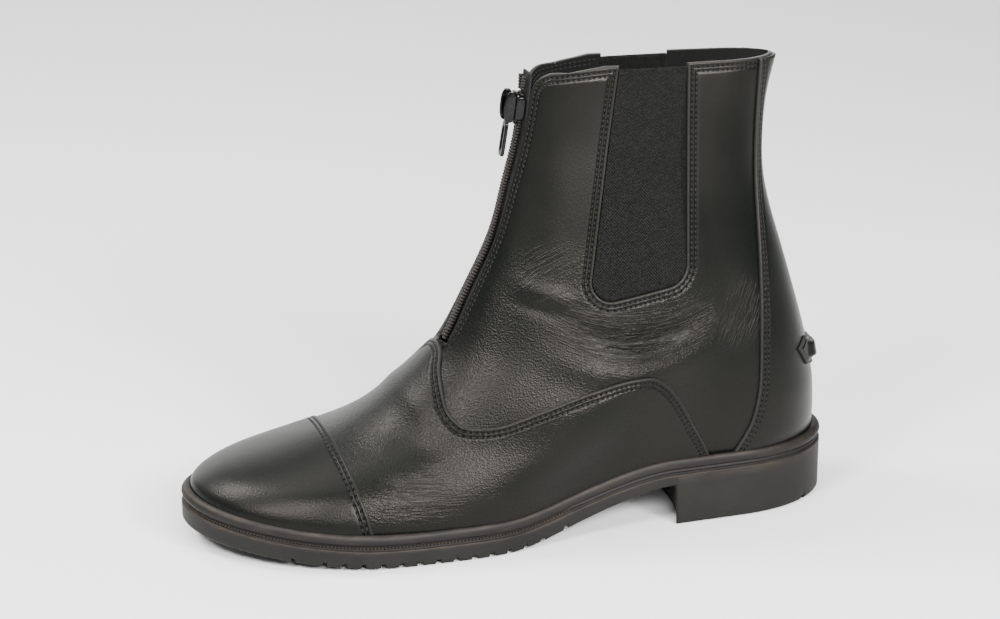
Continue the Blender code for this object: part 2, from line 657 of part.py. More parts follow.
for old in list(bpy.data.objects):
    bpy.data.objects.remove(old, do_unlink=True)
PARTS = collection("jodhpur boot")
CUTTERS = collection("cutters")
LEATHER_BLACK = material("black leather", (0.018, 0.017, 0.016), 0.36)
RUBBER = material("black rubber", (0.035, 0.032, 0.028), 0.62)
LINING = material("dark lining", (0.03, 0.03, 0.03), 0.8)
ELASTIC = material("black elastic", (0.012, 0.012, 0.013), 0.85)
TAPE = material("black tape", (0.012, 0.012, 0.012), 0.8)
METAL = material("dark metal", (0.06, 0.06, 0.06), 0.35, 0.8)

make_outsole()
make_welt()
make_insole()
make_upper()
make_overlays()
make_gores()
make_zip()
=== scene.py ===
"""Left zip-front jodhpur boot, dressed for its picture.

The leather panels, elastic, zip and sole are surfaces worked out with numpy from the boot's own
sizes in millimetres, and scaled to metres when a mesh is made. The toe points to -X, the outer
side faces -Y and the boot stands on z = 0.
"""

import bmesh
import bpy
import numpy as np
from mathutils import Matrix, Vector


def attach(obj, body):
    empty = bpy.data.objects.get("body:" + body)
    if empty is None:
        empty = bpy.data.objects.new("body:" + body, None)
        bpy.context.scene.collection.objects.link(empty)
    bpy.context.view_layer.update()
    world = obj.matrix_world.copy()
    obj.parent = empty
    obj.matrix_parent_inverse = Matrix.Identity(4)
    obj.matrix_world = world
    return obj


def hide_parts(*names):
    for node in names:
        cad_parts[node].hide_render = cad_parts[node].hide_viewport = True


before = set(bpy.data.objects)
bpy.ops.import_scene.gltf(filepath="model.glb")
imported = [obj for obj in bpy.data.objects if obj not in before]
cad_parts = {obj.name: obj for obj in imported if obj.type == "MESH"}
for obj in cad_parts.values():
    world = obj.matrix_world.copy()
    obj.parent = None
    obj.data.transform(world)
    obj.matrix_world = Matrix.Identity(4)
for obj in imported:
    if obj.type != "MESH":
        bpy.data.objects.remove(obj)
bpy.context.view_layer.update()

MM = 0.001
SAME_POINT = 0.002 * MM

# Sole sizes
SOLE_LENGTH = 274.5
TOE_END_X = -SOLE_LENGTH / 2
HEEL_BREAST_X = 61.8
BREAST_HOLLOW = 7.0
BREAST_FADE = 18.0
BREAST_SLOPE = 0.6
HEEL_HEIGHT = 17.2
SHANK_FLOOR_X = -16.0
SPRING_START_X = -45.0
TOE_SPRING = 8.2
SPRING_POWER = 1.87
FORE_TOP = 9.7
HEEL_TOP = 24.3
WELT_HEIGHT = 4.2
WELT_RIM = 0.5
SOLE_EDGE_ROUND = 1.2
GROOVE_DEPTH = 1.3
GROOVE_HEIGHT = 2.4
NOTCH_X = (-101.9,) + tuple(-90.0 + 7.6 * step for step in range(13)) + (11.8, 122.0)
NOTCH_WIDTH = 2.0
NOTCH_DEPTH = 1.5
RIB_FADE = 12.0
RIB_REACH = 0.6
SOLE_BASE = (47.6, 41.2, 34.0, 34.4)
SOLE_NOSE = 70.0
SOLE_HEEL_ROUND = 45.0
SOLE_STATIONS = 260
MOCK_STITCH_END_X = 10.0
MOCK_STITCH_FADE = 4.0
MOCK_START = 0.7
MOCK_PITCH = 1.45
MOCK_HALF = 0.55
MOCK_RADIUS = 0.5
MOCK_DROP = 1.15
MOCK_SUNK = 0.25

# Sections of the last, from the sole up to the collar
STATIONS = (0.25, 0.42, 0.58, 0.80)
CURVE_AT = (0.0, 0.08, 0.20, 0.32, 0.45, 0.60, 0.75, 0.90, 1.0)
CURVE_Y = (7.2, 5.6, 1.6, -3.0, -6.8, -4.6, -2.3, -0.4, 0.0)
RING_COLUMNS = ("front_x", "front_z", "back_x", "back_z", "ball", "instep", "waist", "heel",
                "nose", "back_round", "sole_share", "curve_share")
RINGS = np.array((
    (-131.4, 18.2, 130.8, 24.6, 43.3, 37.6, 30.8, 31.0, 60, 42, 1.00, 1.00),
    (-131.7, 23.2, 131.8, 29.6, 43.4, 38.2, 31.3, 31.8, 58, 40, 0.95, 1.00),
    (-127.2, 26.8, 131.9, 34.2, 42.4, 38.0, 32.0, 32.3, 56, 38, 0.80, 1.00),
    (-120.6, 29.8, 131.9, 39.2, 41.0, 37.6, 32.5, 32.4, 54, 38, 0.65, 0.95),
    (-108.4, 32.8, 131.6, 44.6, 39.0, 37.0, 33.0, 32.3, 52, 37, 0.50, 0.90),
    (-91.8, 36.8, 131.2, 50.6, 37.0, 36.5, 33.2, 32.0, 50, 36, 0.35, 0.80),
    (-74.8, 41.6, 129.9, 57.0, 35.2, 36.0, 33.2, 31.5, 48, 35, 0.20, 0.65),
    (-58.2, 50.6, 128.1, 66.0, 34.0, 35.4, 33.0, 30.6, 46, 34, 0.10, 0.45),
    (-44.6, 62.4, 125.2, 77.0, 32.8, 34.4, 32.4, 29.4, 46, 33, 0.04, 0.30),
    (-31.2, 75.0, 121.3, 90.0, 31.2, 32.8, 31.2, 27.8, 46, 32, 0.00, 0.20),
    (-19.1, 99.0, 115.5, 109.0, 27.8, 29.8, 28.8, 25.2, 45, 31, 0.00, 0.10),
    (-8.8, 121.0, 109.8, 127.0, 23.8, 26.0, 25.4, 22.2, 42, 30, 0.00, 0.00),
    (-3.0, 143.0, 106.2, 146.0, 19.4, 21.6, 21.4, 19.0, 38, 28, 0.00, 0.00),
    (2.3, 165.0, 106.8, 168.0, 15.2, 17.0, 17.0, 15.6, 34, 26, 0.00, 0.00),
    (5.2, 191.0, 111.8, 189.0, 12.0, 13.2, 13.2, 12.2, 30, 24, 0.00, 0.00),
))
COLLAR_Z = RINGS[-1][1]
FINE_STEPS = 40          # samples of each section step
FINE_SHARES = 401
RING_BLUR = 14.0         # in samples, so that no band shows where two sections meet
SHARE_BLUR = 10.0
CLEAR = 0.3
TUCK_LEVEL = 0.03        # how far down behind the welt the leather goes

# Leather pieces
LEATHER = 2.0
OVERLAY = 1.4
CAP_THICK = 2.1
SUNK = -0.4              # underside of what is sewn on, sunk into what is below
RIM = 0.7
FURROW = 0.42
FURROW_HALF = 0.42
STITCH_ROWS = (1.8, 3.6)
STITCH_PITCH = 2.15
CAP_PITCH = 2.9
STITCH_LIFT = 0.10
STITCH_SHARE = 0.70      # length of a stitch in its pitch
STITCH_RADIUS = 0.32
CAP_STITCH_RADIUS = 0.42
STITCH_ALONG = np.array((-1.0, -0.75, 0.0, 0.75, 1.0))     # rings of a stitch, and how thick it is there
STITCH_WIDE = np.array((0.25, 0.85, 1.0, 0.85, 0.25))
STITCH_TURNS = 6
STITCH_POINTS = len(STITCH_ALONG) * STITCH_TURNS
LINING_STITCH_LIFT = 0.05
SLIT_TRIM = 3.0          # where a row of stitches stops before the end of its seam
STRIP_TRIM = 8.0
# The paler tone at a cut edge is partly wear of the edge and partly painted highlight
RIM_MARK = 0.5           # reach of the tone that marks a cut edge
MARK_REACH = 20.0
FAR_AWAY = 99.0
RIM_STEPS = np.array((0.0, 0.1, 0.28, 0.5, 0.8, 1.1, 1.45, 1.8, 2.15, 2.5, 2.9, 3.25, 3.6, 3.95,
                      4.5, 5.4))
CAP_SEAM = ((-78.0, 70.0), (-77.4, 50.0), (-76.4, 41.5), (-74.6, 34.0), (-72.6, 25.5),
            (-70.2, 15.5), (-69.0, 8.0))
WING_EDGE = ((-30.5, 90.0), (-30.4, 77.0), (-33.4, 68.0), (-34.2, 58.5), (-27.4, 50.3),
             (-17.6, 50.6), (1.0, 55.8), (22.9, 63.0), (40.7, 66.7), (46.8, 66.7), (53.7, 63.3),
             (61.0, 55.2), (68.2, 42.8), (75.0, 30.2), (78.4, 20.0))
BACK_EDGE = ((102.8, 200.0), (102.4, 188.0), (100.8, 145.0), (99.8, 103.0), (98.9, 77.0),
             (98.0, 58.0), (94.8, 42.5), (88.3, 30.2), (82.5, 20.0))
SPUR_TIP = (117.5, 66.5)
SPUR_HALF_HEIGHT = 5.6
SPUR_SLANT = 0.5
SPUR_POINT = 5.0
SPUR_BASE = 1.2
SPUR_RIDGE = 2.2
SPUR_RIDGE_HALF = 3.6
SPUR_RIDGE_FADE = 3.5
SPUR_FLANK = 2.5
SPUR_FURROW = 1.3
SPUR_LAST_X = 131.0
SPUR_ROWS = 33
COLLAR_CORNER = 9.0      # rounding of the front panels' upper corner
COLLAR_DIP = 2.6         # how far the collar falls from the elastic to that corner
COLLAR_STEP = 364.0      # height in mm that one unit of level stands for at the collar
CAP_OVERLAP = 4.0        # how far the vamp goes on under the toe cap
CAP_REACH = 0.98

# Points and columns of the leather
HALVINGS = 36            # of a range in which a place is searched
LONGEST_MOVE = 1.5       # of a path over the last in one step
SLIDE_STEPS = 8
SIDE_POINTS = 1600       # of a seam in side view
LOOP_POINTS = 700        # round the elastic's cut-out
EDGE_POINTS = 900        # of a cut edge that distances are measured to
COLLAR_POINTS = 160
UPPER_COLUMNS = (92, 76, 36, 66, 84)    # at the front, front corner, bottom, back corner and back
UPPER_ROWS = 60
UPPER_CALM = 8.0
UPPER_SOLE_CUTS = (0.30, 0.62)          # shares of the sole's edge that the two corners' columns end at
LEVEL_ROWS_REACH = 10.0                 # below the collar, where rows beside an edge keep their levels
LEVEL_ROWS_START = 1.6
CORNER_REACH = 3.0
HIDDEN_COLUMNS = 10.0                   # over which the rim fades below the zip
HIDDEN_SHARE = 0.98
VAMP_COLUMNS = 341
VAMP_ROWS = 68
CAP_COLUMNS = 231
CAP_ROWS = 58
STRIP_COLUMNS = 170
STRIP_ROWS = 50

# Elastic gores
GORE_TOP_FRONT_X = 41.7
GORE_TOP_BACK_X = 70.7
GORE_FRONT_CORNER = (33.7, 105.8, 8.0)    # centre x, z and radius
GORE_BACK_CORNER = (57.3, 110.6, 9.5)
GORE_BOTTOM_DEG = 278.0
GORE_TOP_DROP = 1.5
GORE_OUTER_OFFSET = -0.7
GORE_THICK = 1.1
RIB_COUNT = 44           # threads across the panel
THREAD_WIDE = 0.60       # threads of the weave
THREAD_TALL = 0.64
GORE_SLANT = 0.12
RIB_HEIGHT = 0.05
RIB_COLUMNS = 3
GORE_ROWS = 100
GORE_HEIGHT = 90.0
GORE_HEM = 0.5           # height of the folded upper edge, and its distance from the top
GORE_HEM_AT = 0.6

# Zip
ZIP_LOW_Z = 78.0
ZIP_HALF_SLIT = 5.2
WIDEST_SLIT_ANGLE = 1.2
TAPE_HALF = 4.9
TAPE_BACK = 2.8
TAPE_FRONT = 2.0
TAPE_TOP_Z = 187.6
TAPE_CORD = 0.35         # height of the cord along the tape, its distance from the middle and half width
TAPE_CORD_Y = 2.9
TAPE_CORD_HALF = 0.5
TOOTH_PITCH = 1.2
TOOTH_DEPTH = 1.9
TOOTH_REACH = 2.7
TOOTH_Y = 1.05
END_TOOTH_REACH = 1.9
END_TOOTH_Y = (1.35, 2.55)
CHAIN_FRONT = -0.6
CHAIN_BACK = 1.6
ENDS_LOW_Z = 180.0
ENDS_TOP_Z = 186.2
SLIDER_LOW_Z = 167.0
SLIDER_HIGH_Z = 180.0
SLIDER_WIDTH = 8.4
SLIDER_PLATE = 1.6
CROWN = (1.3, 0.62, 0.5)     # thickness, and shares of the slider's width and height
CROWN_PLACE = (-0.55, 3.0)
CHEEK = (2.2, 0.9, 0.72)     # depth past the plate, thickness and share of the slider's height
CHEEK_PLACE = (1.3, -0.5)
PIN_X = -1.19
PIN_Z = 171.8
PIN_RADIUS = 0.6
EAR_INNER = 1.9
EAR_THICK = 1.1
EAR_RADIUS = 1.5
EAR_DEPTH = 3.6
HUMP_Y = 3.15            # rounded sides of the bridge, with the tab swinging between them
HUMP = (5.0, 0.95, 13.0)
PULL_EYE_RADIUS = 1.5
PULL_HOLE_RADIUS = 0.95
PULL_EYE_WIDTH = 3.2
PULL_NECK = 4.0
PULL_LENGTH = 18.5
PULL_WIDTH = 5.0
PULL_THICK = 1.4
PULL_SLOT_WIDTH = 2.2
PULL_SLOT_LENGTH = 10.0
PULL_SLOT_TOP = 6.0
PULL_TILT_DEG = 9.0

# Creases of the leather in side view: start and end, sideways bow, half width and height
CREASE_COLUMNS = ("start_x", "start_z", "end_x", "end_z", "bow", "half", "height")
CREASES = np.array((
    (4.0, 99.0, 86.0, 96.0, -16.5, 2.2, -2.0),
    (-50.0, 46.0, 96.0, 66.0, 0.0, 13.0, 3.0),
    (-6.0, 83.0, 92.0, 81.0, -12.5, 7.5, 2.8),
    (2.0, 93.0, 86.0, 91.0, -16.5, 2.6, 0.8),
    (12.0, 98.0, 80.0, 97.0, -10.5, 2.0, 0.5),
    (-2.0, 90.0, 80.0, 86.0, -16.0, 1.8, -0.5),
    (-8.0, 108.0, 26.0, 97.0, -1.5, 3.6, 0.9),
    (-10.0, 101.0, 20.0, 92.0, -1.5, 2.2, -0.6),
    (98.0, 98.0, 84.0, 72.0, 1.5, 1.8, -0.4),
    (91.0, 99.0, 76.0, 76.0, 1.8, 1.8, -0.35),
    (-76.0, 34.0, -36.0, 31.0, -1.5, 2.4, -0.4),
    (-74.0, 29.0, -30.0, 27.5, -1.2, 2.2, -0.3),
    (-72.0, 24.0, -32.0, 23.0, -1.0, 2.2, -0.2),
    (-62.0, 40.0, -40.0, 45.0, 2.0, 4.5, -0.5),
    (-52.0, 60.0, -38.0, 50.0, 1.0, 4.5, 0.6),
))

# Zones of fine wrinkles, in the same columns, with the strength of the wrinkles as the last one
WRINKLES = np.array((
    (-4.0, 99.0, 92.0, 95.0, -15.0, 10.0, 0.85),
    (82.0, 66.0, 98.0, 106.0, 0.0, 9.0, 0.7),
    (-78.0, 30.0, -24.0, 27.0, -1.0, 9.0, 0.4),
    (-12.0, 96.0, 30.0, 122.0, 3.0, 9.0, 0.22),
))


# Curves and the last

def ease(share):
    """Share that starts and ends level: three times its square less twice its cube."""
    return share * share * (3 - 2 * share)


def smooth(knots, values, at):
    """Monotone cubic curve through a table; the values may differ from point to point."""
    knots = np.asarray(knots, float)
    values = np.asarray(values, float)
    at = np.clip(at, knots[0], knots[-1])
    steps = np.diff(knots)
    rises = np.diff(values, axis=0) / steps.reshape((-1,) + (1,) * (values.ndim - 1))
    before, after = rises[:-1], rises[1:]
    same_way = before * after > 0
    slopes = np.zeros_like(values)
    slopes[1:-1] = np.where(same_way, 2 * before * after / np.where(same_way, before + after, 1), 0)
    slopes[0], slopes[-1] = rises[0], rises[-1]
    cell = np.clip(np.searchsorted(knots, at, side="right") - 1, 0, len(steps) - 1)
    width = steps[cell]
    t = (at - knots[cell]) / width

    def pick(table, index):
        """Entries of a table at numbers, one column for each number where it has columns."""
        if table.ndim == 1:
            return table[index]
        return np.take_along_axis(table, index[None], axis=0)[0]

    start = ease(1 - t) * pick(values, cell) + t * (1 - t) ** 2 * width * pick(slopes, cell)
    end = ease(t) * pick(values, cell + 1) - t * t * (1 - t) * width * pick(slopes, cell + 1)
    return start + end


def soften(table, reach, axis=0):
    """Weighted mean of neighbouring samples, with bell-shaped weights of the given reach."""
    size = int(3 * reach)
    weights = np.exp(-0.5 * (np.arange(-size, size + 1) / reach) ** 2)
    weights /= weights.sum()
    moved = np.moveaxis(table, axis, -1)
    padding = [(0, 0)] * (moved.ndim - 1) + [(size, size)]
    padded = np.pad(moved, padding, mode="reflect", reflect_type="odd")
    windows = np.lib.stride_tricks.sliding_window_view(padded, 2 * size + 1, axis=-1)
    return np.moveaxis(windows @ weights, -1, axis)


LEVELS = np.linspace(0, 1, (len(RINGS) - 1) * FINE_STEPS + 1)
SHARES = np.linspace(0, 1, FINE_SHARES)
RING_NUMBERS = np.arange(len(RINGS))
FINE = {name: soften(smooth(RING_NUMBERS, RINGS[:, i], LEVELS * RING_NUMBERS[-1]), RING_BLUR)
        for i, name in enumerate(RING_COLUMNS)}
BASES = np.stack([FINE[name] for name in ("ball", "instep", "waist", "heel")])
WIDTHS = soften(smooth(STATIONS, np.repeat(BASES[:, :, None], FINE_SHARES, axis=2),
                       np.repeat(SHARES[None], len(LEVELS), axis=0)), SHARE_BLUR, 1)
LEFT_CURVE = soften(smooth(CURVE_AT, CURVE_Y, SHARES), SHARE_BLUR)
SOLE_WIDTHS = soften(smooth(STATIONS, SOLE_BASE, SHARES), SHARE_BLUR)


def round_end(distance, length):
    """Elliptical rounding: 0 at the end of a section, 1 from the given length on."""
    left = 1 - np.clip(distance / length, 0, 1)
    return np.sqrt(np.clip(1 - left * left, 0, 1))


def sole_rise(x):
    """Share of the shank's rise and height of the toe spring at x."""
    back = np.clip((x - SHANK_FLOOR_X) / (HEEL_BREAST_X - SHANK_FLOOR_X), 0, 1)
    ahead = np.clip((SPRING_START_X - x) / (SPRING_START_X - TOE_END_X), 0, 1)
    return ease(back), TOE_SPRING * ahead ** SPRING_POWER


def sole_top(x):
    """Top of the outsole: its height at the ball, plus the shank's rise and the toe spring."""
    shank, spring = sole_rise(x)
    return FORE_TOP + (HEEL_TOP - FORE_TOP) * shank + spring


def sole_bottom(x):
    """Underside of the outsole with the heel left out."""
    shank, spring = sole_rise(x)
    return HEEL_HEIGHT * shank + spring


def column(name, level):
    """One size of the sections at a level between 0, the sole, and 1, the collar."""
    return np.interp(level, LEVELS, FINE[name])


def section_width(level, share):
    """Half width from the table of widths, weighted between its four nearest entries."""
    row = np.clip(level, 0, 1) * (len(LEVELS) - 1)
    place = np.clip(share, 0, 1) * (FINE_SHARES - 1)
    i = np.minimum(row.astype(int), len(LEVELS) - 2)
    j = np.minimum(place.astype(int), FINE_SHARES - 2)
    a, b = row - i, place - j
    low = WIDTHS[i, j] * (1 - b) + WIDTHS[i, j + 1] * b
    high = WIDTHS[i + 1, j] * (1 - b) + WIDTHS[i + 1, j + 1] * b
    return low * (1 - a) + high * a


def section_height(level, share):
    """Height on a section: a straight line from front to back, plus a share of the sole's sag."""
    first_x = RINGS[0][0] + share * (RINGS[0][2] - RINGS[0][0])
    sag = sole_top(first_x) + CLEAR - RINGS[0][1] - share * (RINGS[0][3] - RINGS[0][1])
    front, back = column("front_z", level), column("back_z", level)
    return front + share * (back - front) + sag * column("sole_share", level)


def last(place):
    """Points of the last at pairs of angle and level.

    The angle runs around a section: 0 in front, pi at the back, positive on the outer side. The
    share along the section is (1 - cos angle) / 2, and the half width there is the table's width
    times an elliptical rounding at both ends.
    """
    angle, level = place[..., 0], place[..., 1]
    share = (1 - np.cos(angle)) / 2
    front = column("front_x", level)
    length = column("back_x", level) - front
    width = section_width(level, share) * round_end(share * length, column("nose", level))
    width = width * round_end((1 - share) * length, column("back_round", level))
    middle = np.interp(share, SHARES, LEFT_CURVE) * column("curve_share", level)
    y = middle - np.sign(np.sin(angle)) * width
    return np.stack([front + share * length, y, section_height(level, share)], axis=-1)


def unit(vectors):
    """Vectors divided by their lengths."""
    return vectors / np.maximum(np.linalg.norm(vectors, axis=-1, keepdims=True), 1e-9)


def skin(place, reach=(0.012, 0.004)):
    """Points of the last, its two slopes by central differences, and its outward normals."""
    slopes = []
    for k in (0, 1):
        ahead, behind = place.copy(), place.copy()
        ahead[..., k] += reach[k]
        behind[..., k] -= reach[k]
        if k == 1:
            ahead[..., 1] = np.minimum(ahead[..., 1], 1.0)
            behind[..., 1] = np.maximum(behind[..., 1], 0.0)
        span = (ahead[..., k] - behind[..., k])[..., None]
        slopes.append((last(ahead) - last(behind)) / span)
    return last(place), slopes[0], slopes[1], unit(np.cross(slopes[0], slopes[1]))


def on_last(line):
    """Angle and level of side-view points on the outer side, by halving the range of levels."""
    x, z = np.asarray(line, float).T
    low, high = np.zeros_like(x), np.ones_like(x)
    for _ in range(HALVINGS):
        level = (low + high) / 2
        front = column("front_x", level)
        share = np.clip((x - front) / (column("back_x", level) - front), 0, 1)
        below = section_height(level, share) < z
        low, high = np.where(below, level, low), np.where(below, high, level)
    return np.stack([np.arccos(1 - 2 * share), level], axis=-1)


def run_of(points):
    """Running length along a row of points."""
    return np.concatenate([[0], np.cumsum(np.linalg.norm(np.diff(points, axis=0), axis=1))])


def points_at(wanted, run, path):
    """Points of a path at running lengths, on straight lines between its own points."""
    return np.stack([np.interp(wanted, run, path[:, k]) for k in range(path.shape[1])], axis=-1)


def side_curve(table):
    """Smooth line through a short table of side-view points."""
    points = np.asarray(table, float)
    knots = run_of(points)
    at = np.linspace(0, knots[-1], SIDE_POINTS)
    return np.stack([smooth(knots, points[:, 0], at), smooth(knots, points[:, 1], at)], axis=-1)


def lengths(path):
    """Running length in mm along a path on the last."""
    return run_of(last(path))


def at_lengths(path, wanted):
    """Places of a path on the last at running lengths in mm."""
    return points_at(wanted, lengths(path), path)


def spaced(path, count):
    """A path on the last with evenly spaced points."""
    return at_lengths(path, np.linspace(0, lengths(path)[-1], count))


def beside(path, distance):
    """A path moved over the last by a distance in mm, to its left as seen from outside.

    Each step solves for the change of angle and level that moves a point along the surface at a
    right angle to the path.
    """
    distance = np.broadcast_to(np.asarray(distance, float), path.shape[:1])
    steps = max(1, int(np.ceil(np.abs(distance).max() / LONGEST_MOVE)))
    for _ in range(steps):
        point, across, up, normal = skin(path)
        left = np.cross(normal, unit(np.gradient(point, axis=0)))
        aa, ab, bb = (np.sum(u * v, axis=-1) for u, v in ((across, across), (across, up), (up, up)))
        p, q = np.sum(left * across, axis=-1), np.sum(left * up, axis=-1)
        flat = np.maximum(aa * bb - ab * ab, 1e-6)
        move = np.stack([(p * bb - q * ab) / flat, (q * aa - p * ab) / flat], axis=-1)
        path = path + move * (distance / steps)[:, None]
        path[:, 1] = np.clip(path[:, 1], 0, 1)
    return path


def slide(path, distance):
    """A path moved along its sections, at its own levels, by a distance in mm to greater angles."""
    for _ in range(SLIDE_STEPS):
        across = np.linalg.norm(skin(path)[1], axis=-1)
        path = path + np.stack([distance / SLIDE_STEPS / across, np.zeros(len(path))], axis=-1)
    return path


def raised(point, normal, height):
    """Points moved out along their normals by a height in mm."""
    return point + normal * np.asarray(height)[..., None]


def nearest(points, line):
    """Distance in mm from each point to the nearest of a line's points, and that one's number.

    The line is taken part by part, so that the table of distances stays small.
    """
    flat = points.reshape(-1, 3)
    squares, found = np.full(len(flat), np.inf), np.zeros(len(flat), int)
    start = 0
    for part in np.array_split(line, max(1, len(line) // 40)):
        gaps = ((flat[:, None] - part[None]) ** 2).sum(axis=-1)
        best = gaps.argmin(axis=1)
        least = gaps[np.arange(len(flat)), best]
        found = np.where(least < squares, best + start, found)
        squares = np.minimum(squares, least)
        start += len(part)
    return np.sqrt(squares).reshape(points.shape[:-1]), found.reshape(points.shape[:-1])


def edge_form(distance, rows=STITCH_ROWS):
    """Height near a cut edge: a quarter-round rim and a furrow under each row of stitches."""
    left = np.clip(1 - distance / RIM, 0, 1)
    height = -RIM * (1 - np.sqrt(1 - left * left))
    for row in rows:
        height = height - FURROW * np.exp(-((distance - row) / FURROW_HALF) ** 2)
    return height


def rows_away(places):
    """Distance from the cut edge in the rows beside it, and far away in all others."""
    away = np.full(places.shape[:2], FAR_AWAY)
    away[:len(RIM_STEPS)] = RIM_STEPS[:, None]
    return away


def from_line(row, points):
    """Distance across a bowed line in side view, share along it, its span, half width and height.

    The bow is a parabola: four times the bow, times the share, times what is left of the line.
    """
    fold = dict(zip(CREASE_COLUMNS, row))
    x, z = points[..., 0] - fold["start_x"], points[..., 2] - fold["start_z"]
    span = np.hypot(fold["end_x"] - fold["start_x"], fold["end_z"] - fold["start_z"])
    ux, uz = (fold["end_x"] - fold["start_x"]) / span, (fold["end_z"] - fold["start_z"]) / span
    share = np.clip((x * ux + z * uz) / span, 0, 1)
    off = -x * uz + z * ux - fold["bow"] * 4 * share * (1 - share)
    return off, share, span, fold["half"], fold["height"]


def seam_marks(away, run, point, from_rim=None):
    """Marks for the finish: the cut edge, the way from a seam and along it, and the fine wrinkles."""
    rim = np.exp(-((away if from_rim is None else from_rim) / RIM_MARK) ** 2)
    best = np.zeros_like(away)
    fold, along = np.zeros_like(away), np.zeros_like(away)
    for row in WRINKLES:
        off, share, span, half, strength = from_line(row, point)
        here = strength * np.sin(np.pi * share) ** 2 * np.exp(-(off / half) ** 2)
        fold = np.where(here > best, off, fold)
        along = np.where(here > best, share * span, along)
        best = np.maximum(best, here)
    return {"rim": rim, "away": np.clip(away, 0, MARK_REACH), "run": run * np.ones_like(away),
            "fold": fold, "along": along, "folded": best}


def crease_height(points):
    """Sum of soft troughs and ridges: each a bell across its bowed line, fading in and out along it."""
    total = np.zeros(points.shape[:-1])
    for row in CREASES:
        off, share, _, half, height = from_line(row, points)
        total += height * np.sin(np.pi * share) ** 2 * np.exp(-(off / half) ** 2)
    return total


# Meshes

def put_in(name, data):
    """An object made of some data, put into the scene."""
    made = bpy.data.objects.new(name, data)
    bpy.context.scene.collection.objects.link(made)
    return made


def add_mesh(name, points, faces, looks, body="boot", slot=None, replaces=(), marks=None, kinds=None):
    """Make one piece from points in mm, put its finishes on it and ride it on a body."""
    mesh = bpy.data.meshes.new(name)
    points = np.asarray(points, float).reshape(-1, 3) * MM
    faces = np.asarray(faces)
    mesh.from_pydata(points.tolist(), [], faces.tolist())
    for look in looks:
        mesh.materials.append(look)
    if kinds is not None:
        mesh.polygons.foreach_set("material_index", np.asarray(kinds, np.int32))
    for mark, values in (marks or {}).items():
        layer = mesh.attributes.new(mark, "FLOAT", "POINT")
        layer.data.foreach_set("value", np.asarray(values, np.float32).ravel())
    work = bmesh.new()
    work.from_mesh(mesh)
    bmesh.ops.remove_doubles(work, verts=work.verts, dist=SAME_POINT)
    bmesh.ops.dissolve_degenerate(work, edges=work.edges, dist=SAME_POINT / 2)
    work.to_mesh(mesh)
    work.free()
    mesh.shade_smooth()
    made = put_in(name, mesh)
    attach(made, body)
    if replaces:
        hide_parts(*replaces)


def grid_faces(rows, columns, first=0, close_rows=False, close_columns=False):
    """Corner numbers of a grid's quads."""
    index = first + np.arange(rows * columns).reshape(rows, columns)
    if close_rows:
        index = np.concatenate([index, index[:1]])
    if close_columns:
        index = np.concatenate([index, index[:, :1]], axis=1)
    corners = (index[:-1, :-1], index[:-1, 1:], index[1:, 1:], index[1:, :-1])
    return np.stack(corners, axis=-1).reshape(-1, 4)


def spread(x, y, z):
    """Grid of points whose coordinates are spread over its rows and columns."""
    return np.stack(np.broadcast_arrays(x, y, z), axis=-1)


def slab(name, outer, inner, looks, marks=None, **ways):
    """Closed slab between two grids: both faces and the four narrow sides."""
    rows, columns = outer.shape[:2]
    count = rows * columns
    face = grid_faces(rows, columns)
    index = np.arange(count).reshape(rows, columns)
    border = np.concatenate([index[0, :-1], index[:-1, -1], index[-1, :0:-1], index[:0:-1, 0]])
    after = np.roll(border, -1)
    sides = np.stack([after, border, border + count, after + count], axis=-1)
    faces = np.concatenate([face, face[:, ::-1] + count, sides])
    kinds = np.concatenate([np.zeros(len(face)), np.ones(len(face)), np.zeros(len(sides))])
    a, b, c = (outer.reshape(-1, 3)[face[:, k]] for k in (0, 1, 2))
    facing = np.sum(np.cross(b - a, c - a) * (outer - inner).reshape(-1, 3)[face[:, 0]])
    if facing < 0:
        faces = faces[:, ::-1]
    if marks is not None:
        marks = {key: np.tile(value.ravel(), 2) for key, value in marks.items()}
    add_mesh(name, np.concatenate([outer.reshape(-1, 3), inner.reshape(-1, 3)]), faces, looks,
             marks=marks, kinds=np.minimum(kinds, len(looks) - 1), **ways)


def ruled(start, end, shares, calm=0.0):
    """Rows of places on straight lines between two paths with as many points.

    With calm, the lines aim at a smoothed end path, and its kinks come in only close to the end.
    """
    share = np.asarray(shares)[:, None, None]
    aim = soften(end, calm) if calm else end
    return start[None] + (aim - start)[None] * share + (end - aim)[None] * share ** 8


def edge_rows(path, sign=1, share=1.0, flat=None, way=0.0):
    """Paths beside a cut edge, at the distances that its rim and furrows need, or a share of them.

    Where flat is 1 the rows are moved along the sections instead, in the given way.
    """
    rows = []
    for step in RIM_STEPS:
        moved = beside(path, sign * step * share)
        if flat is not None:
            moved = moved + (slide(path, way * step * share) - moved) * flat[:, None]
        rows.append(moved)
    return np.stack(rows)


